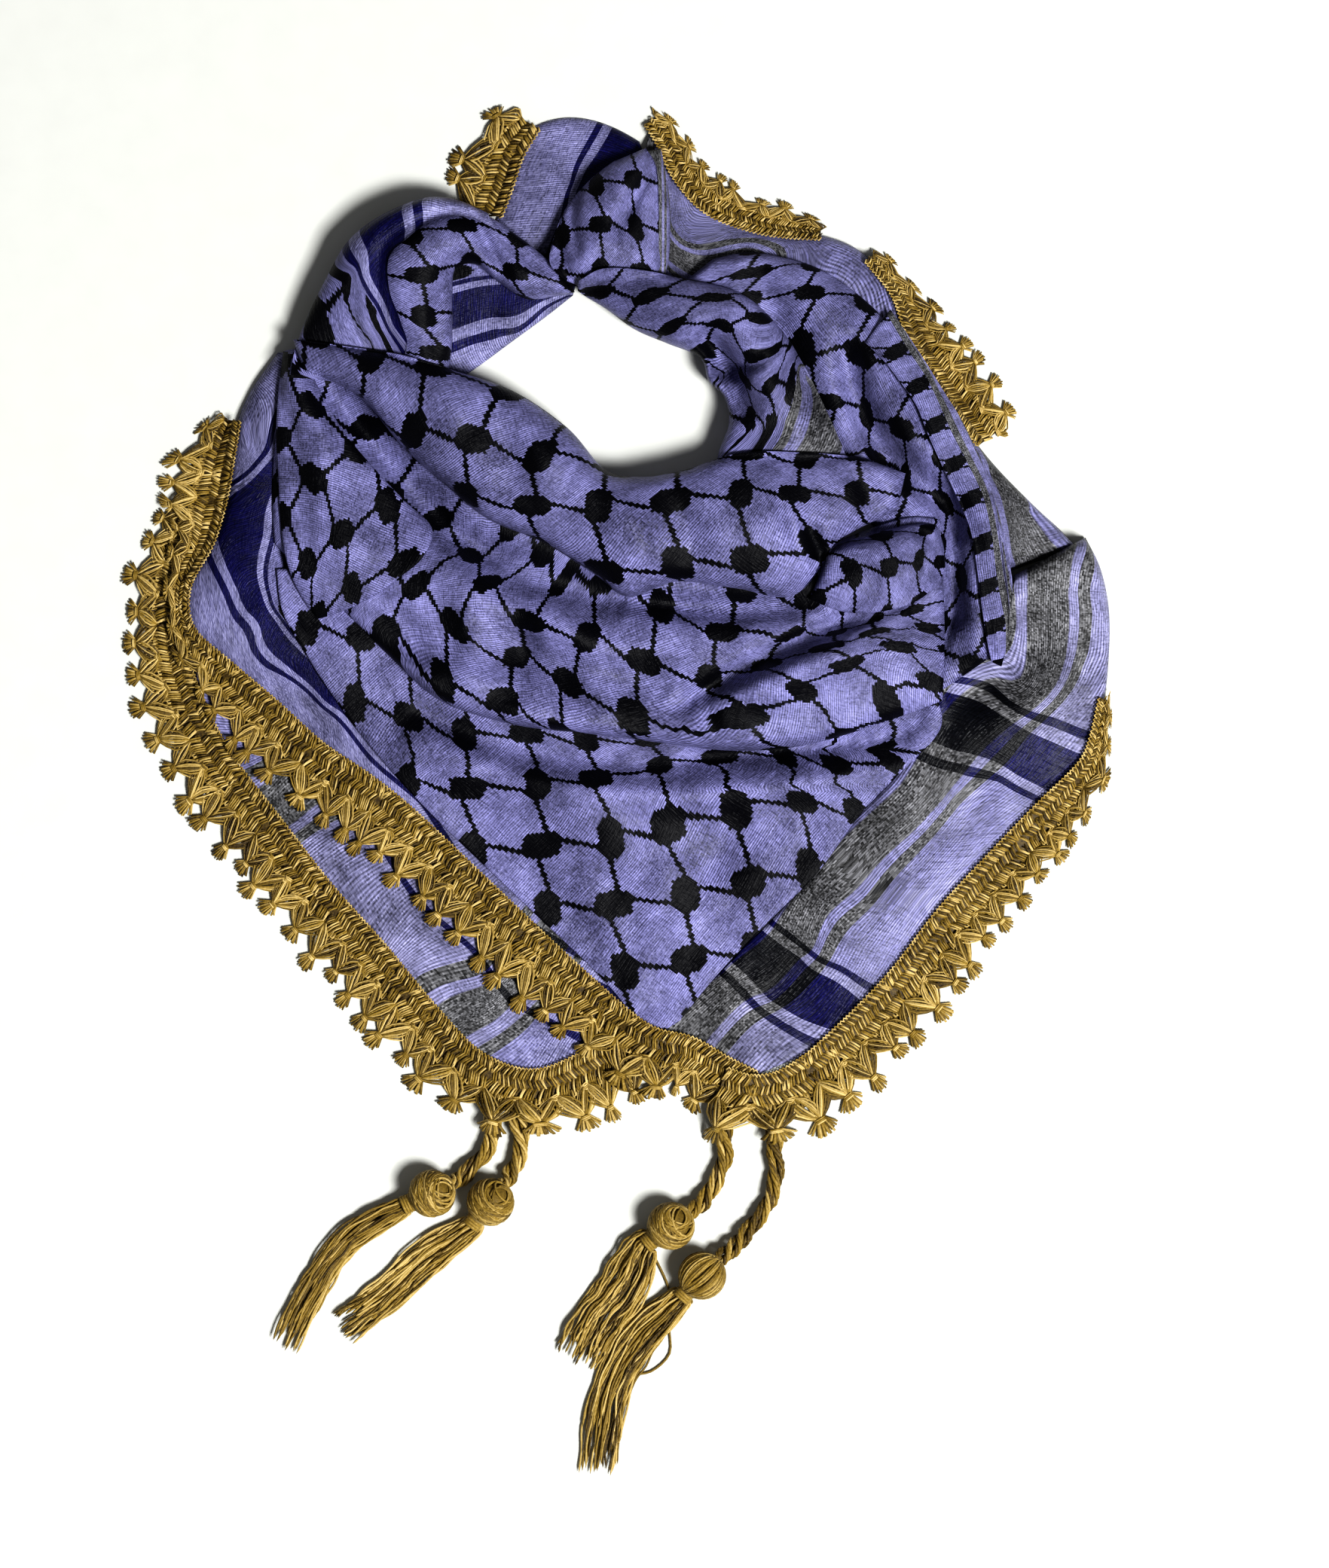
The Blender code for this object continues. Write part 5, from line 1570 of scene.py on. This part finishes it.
RIGHT_BORDER = (
    Section((15, -108, 4), (38, -121, 2), (62, -131, 1.5)),
    Section((42, -86, 4), (70, -102, 3), (95, -115, 1.5)),
    Section((62, -65, 5), (95, -77, 4), (124, -86, 1.5)),
    Section((84, -41, 6), (119, -49, 5), (148, -55, 1.5)),
    Section((104, -14, 7), (140, -24, 5), (170, -31, 1.5)),
    Section((120, 3, 8), (159, -2, 6), (194, -6, 1.5)),
    Section((132, 18, 9), (177, 15, 8), (214, 14, 2)),
    Section((139, 36, 10), (186, 37, 11), (223, 40, 4)),
    Section((146, 55, 12), (191, 59, 14), (226, 64, 6)),
    Section((156, 74, 15), (195, 80, 19), (226, 86, 9)),
    Section((172, 90, 19), (200, 98, 22), (222, 105, 12)),
    Section((181, 101, 20), (200, 111, 22), (215, 119, 14)),
)

FRONT_FIELD = (
    Section((11, -110, 4), (18, -110, 4), (27, -105, 4)),
    Section((-10, -85, 5), (17, -86, 6), (44, -84, 5)),
    Section((-36, -60, 5), (15, -61, 7), (66, -61, 6)),
    Section((-60, -37, 6), (15, -37, 8), (90, -37, 7)),
    Section((-84, -14, 6), (14, -12, 9), (110, -10, 8)),
    Section((-103, 6, 7), (13, 8, 9), (127, 8, 9)),
    Section((-120, 26, 8), (12, 28, 9), (144, 25, 10)),
    Section((-133, 44, 9), (12, 46, 9), (148, 36, 10)),
    Section((-146, 64, 10), (8, 64, 9), (142, 52, 10)),
    Section((-157, 84, 10), (0, 84, 8), (132, 72, 9)),
    Section((-160, 104, 10), (-10, 104, 7), (120, 92, 8)),
)

COWL = (
    Section((-161, 116, 11), (-161, 160, 14), (-152, 205, 12)),
    Section((-150, 104, 13), (-142, 150, 16), (-128, 194, 12)),
    Section((-128, 84, 14), (-112, 128, 17), (-92, 178, 12)),
    Section((-108, 64, 15), (-86, 106, 18), (-62, 158, 12)),
    Section((-84, 43, 16), (-62, 86, 19), (-40, 138, 12)),
    Section((-50, 32, 18), (-34, 76, 20), (-15, 124, 12)),
    Section((-17, 28, 19), (-5, 72, 21), (8, 118, 12)),
    Section((15, 24, 20), (25, 70, 22), (35, 116, 12)),
    Section((50, 20, 20), (58, 68, 22), (62, 116, 12)),
    Section((82, 22, 19), (90, 70, 23), (92, 116, 12)),
    Section((112, 30, 17), (120, 76, 24), (118, 124, 14)),
    Section((132, 37, 16), (138, 82, 22), (134, 128, 15)),
    Section((148, 43, 14), (149, 86, 18), (146, 127, 15)),
)

FAN = (
    Section((93, 111, 24), (91, 101, 25), (86, 90, 22)),
    Section((104, 117, 27), (105, 102, 30), (102, 84, 23)),
    Section((118, 121, 28), (121, 103, 32), (119, 84, 22)),
    Section((131, 124, 27), (135, 107, 31), (134, 88, 22)),
    Section((140, 125, 24), (145, 111, 27), (145, 96, 20)),
    Section((145, 124, 19), (148.5, 114, 22), (149, 103, 17)),
)

SIDE_FOLD = (
    Section((-157, 205, 12), (-153, 206, 14), (-149, 206, 12)),
    Section((-159, 187, 12), (-151, 188, 20), (-141, 189, 10)),
    Section((-160, 167, 12), (-146, 169, 22), (-129, 168, 9)),
    Section((-159, 146, 12), (-138, 149, 23), (-115, 151, 8)),
    Section((-158, 126, 12), (-132, 131, 23), (-101, 136, 8)),
    Section((-155, 107, 12), (-126, 113, 21), (-88, 123, 9)),
    Section((-149, 92, 12), (-122, 99, 18), (-92, 109, 11)),
    Section((-141, 81, 12), (-121, 88, 15), (-104, 99, 13)),
)

LEFT_BACK_ROLL = (
    Ring((-153, 192), (-108, 190), 12, 18),
    Ring((-151, 206), (-99, 205), 13, 21),
    Ring((-145, 222), (-102, 218), 14, 25),
    Ring((-136, 240), (-107, 232), 14, 27),
    Ring((-128, 254), (-107, 247), 14, 28),
    Ring((-117, 264), (-98, 256), 14, 28),
    Ring((-102, 272), (-89, 263), 14, 27),
    Ring((-88, 276), (-80, 266), 13, 26),
    Ring((-74, 274), (-68, 265), 13, 24),
    Ring((-62, 268), (-58, 260), 12, 20),
)

INNER_FOLD = (
    Ring((-104, 184), (-82, 186), 11, 18),
    Ring((-106, 206), (-79, 204), 12, 24),
    Ring((-110, 222), (-78.5, 219), 13, 28),
    Ring((-114, 240), (-78.5, 233), 13, 30),
    Ring((-104, 258), (-77, 243), 13, 30),
    Ring((-84, 268), (-68, 245), 13, 28),
    Ring((-64, 268), (-56, 236), 13, 27),
    Ring((-48, 258), (-44, 229), 12, 25),
    Ring((-34, 247), (-31, 230.5), 12, 21),
    Ring((-24, 239), (-22, 232.5), 11, 15),
)

KNOT = (
    Ring((-4, 293), (11, 299), 10, 16),
    Ring((-15, 284), (16, 289), 12, 23),
    Ring((-26, 271), (17, 271), 13, 27),
    Ring((-32, 256), (17, 253), 14, 28),
    Ring((-33, 244), (17, 242), 14, 25),
    Ring((-24, 235), (6, 233), 12, 17),
)

KNOT_FOLD = (
    Section((9, 297, 9), (13, 298, 11), (18, 299, 9)),
    Section((9, 286, 11), (15, 287, 15), (20, 288, 11)),
    Section((8, 270, 13), (16, 270, 18), (22, 270, 12)),
    Section((8, 254, 13), (16, 253, 18), (22, 252, 12)),
    Section((9, 243, 11), (15, 242, 14), (20, 240, 10)),
)

RIGHT_BACK_ROLL = (
    Ring((-20, 236.5), (-20.5, 232.5), 9, 12),
    Ring((-8, 242), (-8, 225), 11, 19),
    Ring((12, 241), (6, 215), 12, 25),
    Ring((35, 237), (21, 208.5), 13, 30),
    Ring((57, 230), (36, 202), 13, 33),
    Ring((74, 214), (40, 191), 13, 34),
    Ring((85, 196), (47, 184), 13, 34),
    Ring((94, 178), (49.5, 172), 13, 32),
    Ring((102, 160), (45, 159), 13, 28),
    Ring((107, 148), (42, 146), 12, 22),
)

FRONT_ROLL = (
    Ring((-152, 210), (-147, 196), 16, 22),
    Ring((-131, 207), (-122, 184), 16, 30),
    Ring((-105, 203), (-101, 160), 15, 36),
    Ring((-79, 196), (-83, 144), 15, 39),
    Ring((-50, 186), (-62, 127), 15, 41),
    Ring((-25, 169), (-36, 116), 15, 41),
    Ring((-8, 150), (-12, 101), 15, 40),
    Ring((8, 146.5), (3, 91), 15, 40),
    Ring((26, 149), (25, 98), 16, 39),
    Ring((54, 157), (52, 95), 16, 38),
    Ring((85, 157), (80, 92), 16, 36),
    Ring((110, 155), (101, 117), 18, 32),
    Ring((131, 148), (127, 131), 17, 24),
)

COWL_FOLDS = (
    Crease((-84, 112), (-70, 78), (-74, 46), 9, 7, 5),
    Crease((-62, 112), (-46, 76), (-50, 40), 7, 8, -5),
    Crease((-40, 96), (-18, 66), (-10, 34), 8, 10, 4),
    Crease((-120, 96), (-100, 78), (-92, 54), 6, 6, -4),
    Crease((-150, 208), (-115, 162), (-78, 126), 9, 9, -14),
    Crease((-104, 142), (-58, 109), (2, 88), 8, 8, -15),
    Crease((-24, 96), (34, 86), (94, 88), 6, 6, -11),
    Crease((10, 22), (84, 18), (156, 44), 5, 7, -14),
    Crease((-128, 74), (-84, 46), (0, 34), 8, 10, 5),
    Crease((-70, 84), (-20, 60), (36, 48), 9, 14, -8),
    Crease((40, 40), (82, 58), (134, 84), 5, 12, 10),
    Crease((22, 38), (66, 63), (126, 92), 4, 5, -11),
    Crease((-112, 60), (-84, 56), (-30, 46), 6, 8, 6),
    Crease((86, 80), (116, 80), (143, 100), 2.6, 2.6, -5),
    Crease((84, 72), (118, 73), (146, 92), 2.4, 2.4, -4),
    Crease((-96, 112), (-50, 84), (10, 60), 10, 12, 7),
)
SHOULDER_FOLDS = (
    Crease((102, 212), (112, 176), (130, 148), 6, 6, -15),
    Crease((114, 160), (142, 143), (160, 116), 6, 7, -16),
    Crease((152, 142), (154, 98), (150, 44), 6, 5, -15),
    Crease((112, 206), (130, 170), (152, 136), 7, 6, 5),
    Crease((157, 130), (160, 98), (165, 60), 5, 4, 5),
    Crease((60, 248), (70, 226), (82, 200), 8, 8, -6),
)
RIGHT_ROLL_FOLDS = (
    Crease((34, 214), (48, 198), (58, 172), 6, 6, -22),
    Crease((66, 200), (52, 196), (40, 196), 4, 4, -10),
    Crease((26, 232), (72, 222), (86, 184), 7, 7, 4),
    Crease((88, 206), (92, 182), (94, 158), 5, 6, -8),
    Crease((0, 236), (20, 226), (40, 214), 5, 5, 3),
)
RIGHT_BORDER_FOLDS = (Crease((150, 44), (176, 55), (204, 92), 12, 12, -9),)
FIELD_FOLDS = (
    Crease((-120, 24), (-90, 22), (-66, 6), 12, 12, 3),
    Crease((-104, 30), (0, 2), (144, 18), 6, 12, 9),
    Crease((-100, 40), (0, 17), (146, 31), 5, 5, -10),
    Crease((-60, -4), (0, -22), (40, -60), 13, 15, 4.5),
    Crease((-84, 0), (-40, -44), (4, -90), 8, 10, -3.5),
    Crease((60, -14), (40, -34), (30, -60), 9, 12, -3.5),
)
FAN_FOLDS = (
    Crease((96, 114), (124, 116), (138, 94), 2.5, 2.5, -3),
    Crease((97, 112), (136, 121), (146, 96), 2.5, 2.5, -4),
    Crease((98, 104), (112, 106), (116, 90), 3, 3, -2),
)
SIDE_FOLD_FOLDS = (
    Crease((-148, 196), (-136, 160), (-122, 104), 6, 8, 4),
    Crease((-156, 186), (-150, 150), (-142, 100), 4, 5, -4),
    Crease((-140, 190), (-114, 152), (-90, 120), 6, 10, -5),
    Crease((-150, 176), (-128, 142), (-100, 118), 8, 12, -4),
    Crease((-152, 120), (-136, 98), (-110, 82), 6, 8, -4),
)
INNER_FOLD_FOLDS = (
    Crease((-86, 200), (-84, 228), (-76, 252), 3, 5, -4),
    Crease((-72, 272), (-62, 254), (-52, 238), 4, 4, -7),
    Crease((-58, 266), (-50, 252), (-30, 240), 4, 4, -5),
)
KNOT_FOLDS = (
    Crease((-20, 284), (-23, 264), (-20, 246), 3, 3, -7),
    Crease((-28, 274), (-29, 256), (-27, 240), 3.5, 3.5, -8),
    Crease((16, 292), (5, 273), (-6, 254), 3, 3, -6),
    Crease((-6, 262), (-14, 250), (-24, 238), 5, 5, 4),
)
FRONT_ROLL_FOLDS = (
    Crease((-20, 150), (2, 128), (10, 100), 8, 10, 4),
    Crease((-70, 178), (-52, 160), (-50, 134), 8, 9, -6),
    Crease((20, 142), (30, 122), (32, 104), 8, 8, -5),
    Crease((100, 150), (112, 142), (116, 126), 6, 6, -4),
    Crease((64, 152), (75, 131), (88, 110), 7, 4, 4),
    Crease((82, 126), (89, 115), (94, 102), 4, 4, -9),
    Crease((-140, 200), (-80, 180), (-20, 150), 10, 10, 3),
)

LOWER_TRIM = (
    Edge(-193, 128, 25), Edge(-203, 100, 27), Edge(-205, 76, 27), Edge(-199, 50, 31), Edge(-184, 19, 33),
    Edge(-160, -13, 33), Edge(-136, -44, 33), Edge(-112, -71, 33), Edge(-88, -100, 33),
    Edge(-66, -122, 33), Edge(-40, -130, 33), Edge(-12, -119, 33), Edge(12, -108, 30),
)
UPPER_TRIM = (
    Edge(-179, 173, 14), Edge(-182, 155, 27), Edge(-185, 138, 33), Edge(-191, 117, 22), Edge(-202, 96, 12),
    Edge(-200, 76, 12), Edge(-182, 59, 22), Edge(-162, 42, 32), Edge(-140, 22, 33), Edge(-118, 7, 33),
    Edge(-98, -9, 33), Edge(-60, -45, 33), Edge(-22, -81, 33), Edge(10, -108, 31), Edge(32, -115, 29),
    Edge(48, -124, 31), Edge(62, -131, 33),
)
RIGHT_TRIM = (
    Edge(48, -129, 33), Edge(59, -132.5, 33), Edge(71, -131.5, 33), Edge(83, -125, 33), Edge(95, -115, 33),
    Edge(124, -86, 33), Edge(148, -55, 31), Edge(170, -31, 29), Edge(194, -6, 26), Edge(213, 13, 15),
    Edge(219, 26, 9), Edge(223, 44, 5),
)
BACK_TRIM = (
    Edge(114, 248, 9), Edge(127, 231, 12), Edge(135, 208, 24), Edge(150, 183, 26), Edge(166, 162, 24),
)
LEFT_END_TRIM = (Edge(-40, 309.5, 20), Edge(-48, 296, 28), Edge(-53, 281, 30), Edge(-58, 268, 30))
BACK_END_TRIM = (
    Edge(12, 312, 10), Edge(18, 302, 14), Edge(26, 286, 16), Edge(40, 271, 18), Edge(60, 263, 16),
    Edge(76, 260, 14), Edge(92, 259, 8),
)

TASSELS = (
    Tassel("tassel_a", ((-60, -147), (-62, -164), (-75, -178)), (-88, -185),
           ((-101, -191), (-126, -206), (-142, -227), (-159, -259)), 12, Winding.ROUND),
    Tassel("tassel_b", ((-49, -149), (-47, -165), (-52, -177)), (-61, -189),
           ((-71, -201), (-92, -216), (-112, -234), (-132, -249)), 16, Winding.ROUND),
    Tassel("tassel_c", ((46, -148), (47, -170), (38, -188)), (22.5, -200),
           ((11, -209), (0, -230), (-12, -246), (-22, -266)), 22, Winding.ROUND,
           (((14, -213, 1.5), (21, -228, 1.2), (22, -238, 1.0)),)),
    Tassel("tassel_d", ((70, -152), (70, -184), (56, -206)), (37, -223),
           ((25, -236), (7, -254), (-6, -280), (-12, -317)), 17, Winding.LENGTHWISE,
           (((24, -236, 4), (22, -248, 1.2), (22, -260, 1.0), (14, -268, 1.0), (5, -270, 1.2)),)),
)

LAID = (
    Stretch("lower_layer", LOWER_LAYER, LOWER_LAYER_PINS, seed=1),
    CrochetEdge("lower_trim", LOWER_TRIM, 1, 21),
    Stretch("left_end_flap", LEFT_END_FLAP, LEFT_END_PINS, seed=2),
    CrochetEdge("left_end_trim", LEFT_END_TRIM, 1, 22),
    Stretch("back_border", BACK_BORDER, BACK_BORDER_PINS, seed=3),
    Stretch("back_border", BACK_SIDE, BACK_SIDE_PINS, seed=3, part="side"),
    CrochetEdge("back_end_trim", BACK_END_TRIM, -1, 23),
    CrochetEdge("back_trim", BACK_TRIM, -1, 24),
    Stretch("inner_back_band", INNER_BACK_BAND, INNER_BAND_PINS, seed=4),
    Stretch("right_border", RIGHT_BORDER, RIGHT_BORDER_PINS, RIGHT_BORDER_FOLDS, seed=5),
    Stretch("right_shoulder", RIGHT_SHOULDER, SHOULDER_PINS, SHOULDER_FOLDS, seed=6),
    Roll("right_shoulder", SHOULDER_RIDGE, RIDGE_PINS, seed=16, part="ridge"),
    Stretch("left_border", LEFT_BORDER, LEFT_BORDER_PINS, seed=7),
    Stretch("front_field", FRONT_FIELD, FIELD_PINS, FIELD_FOLDS, filled=False, seed=8),
    CrochetEdge("upper_trim", UPPER_TRIM, 1, 25),
    CrochetEdge("right_trim", RIGHT_TRIM, 1, 26),
    Stretch("cowl", COWL, COWL_PINS, COWL_FOLDS, seed=9),
    Stretch("cowl", FAN, FAN_PINS, FAN_FOLDS, seed=17, part="fan"),
    Stretch("cowl", SIDE_FOLD, SIDE_FOLD_PINS, SIDE_FOLD_FOLDS, seed=9, part="side_fold"),
    Roll("left_back_roll", INNER_FOLD, INNER_FOLD_PINS, INNER_FOLD_FOLDS, seed=14, part="inner_fold"),
    Roll("left_back_roll", LEFT_BACK_ROLL, LEFT_ROLL_PINS, seed=10),
    Stretch("knot", KNOT_FOLD, KNOT_FOLD_PINS, filled=False, seed=15, nose=3.0, part="fold"),
    Roll("knot", KNOT, KNOT_PINS, KNOT_FOLDS, seed=11),
    Roll("right_back_roll", RIGHT_BACK_ROLL, RIGHT_ROLL_PINS, RIGHT_ROLL_FOLDS, seed=12),
    Roll("front_roll", FRONT_ROLL, FRONT_ROLL_PINS, FRONT_ROLL_FOLDS, seed=13),
)
HEMS = {"lower_layer": ("lower_trim",), "left_end_flap": ("left_end_trim",), "front_field": ("upper_trim",),
        "back_border": ("back_end_trim", "back_trim"), "right_border": ("right_trim",)}


def main() -> None:
    """Builds the scarf from the table upward, puts every piece on the root body and hides its solid, then builds the
    studio.
    """
    logging.basicConfig(level=logging.INFO, format="%(message)s")
    cotton, yarn = WovenCotton().make(), CottonYarn().make()
    table = TableTop()
    pieces, cloths = [], []
    for tassel in TASSELS:
        for part, piece in zip(("head", "skirt"), tassel.build(yarn)):
            pieces.append((f"{tassel.name}_{part}", piece))
            world = np.array([v.co for v in piece.data.vertices]) / MM
            world[:, :2] += CENTRE
            if part == "head":
                table.lay_points(world)
    units = [CrochetUnit(seed) for seed in range(4)]
    for item in LAID:
        if isinstance(item, CrochetEdge):
            piece = item.build(table, units, yarn)
        else:
            piece = item.build(table, cotton)
            cloths.append((item, piece))
        pieces.append((item.node, piece))
    for node, piece in pieces:
        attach(piece, "root")
        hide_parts(node)
        LOG.info("%s: %d faces", piece.name, len(piece.data.polygons))
    for item, piece in cloths:
        hemmed = HEMS.get(item.node, ()) if item.part == "cloth" else ()
        hems = [other for node, other in pieces if node in hemmed]
        if item.node == "lower_layer":
            hems += [other for node, other in pieces if node.startswith("tassel")]
        item.cut()
    Studio().build()


if __name__ == "__main__":
    main()
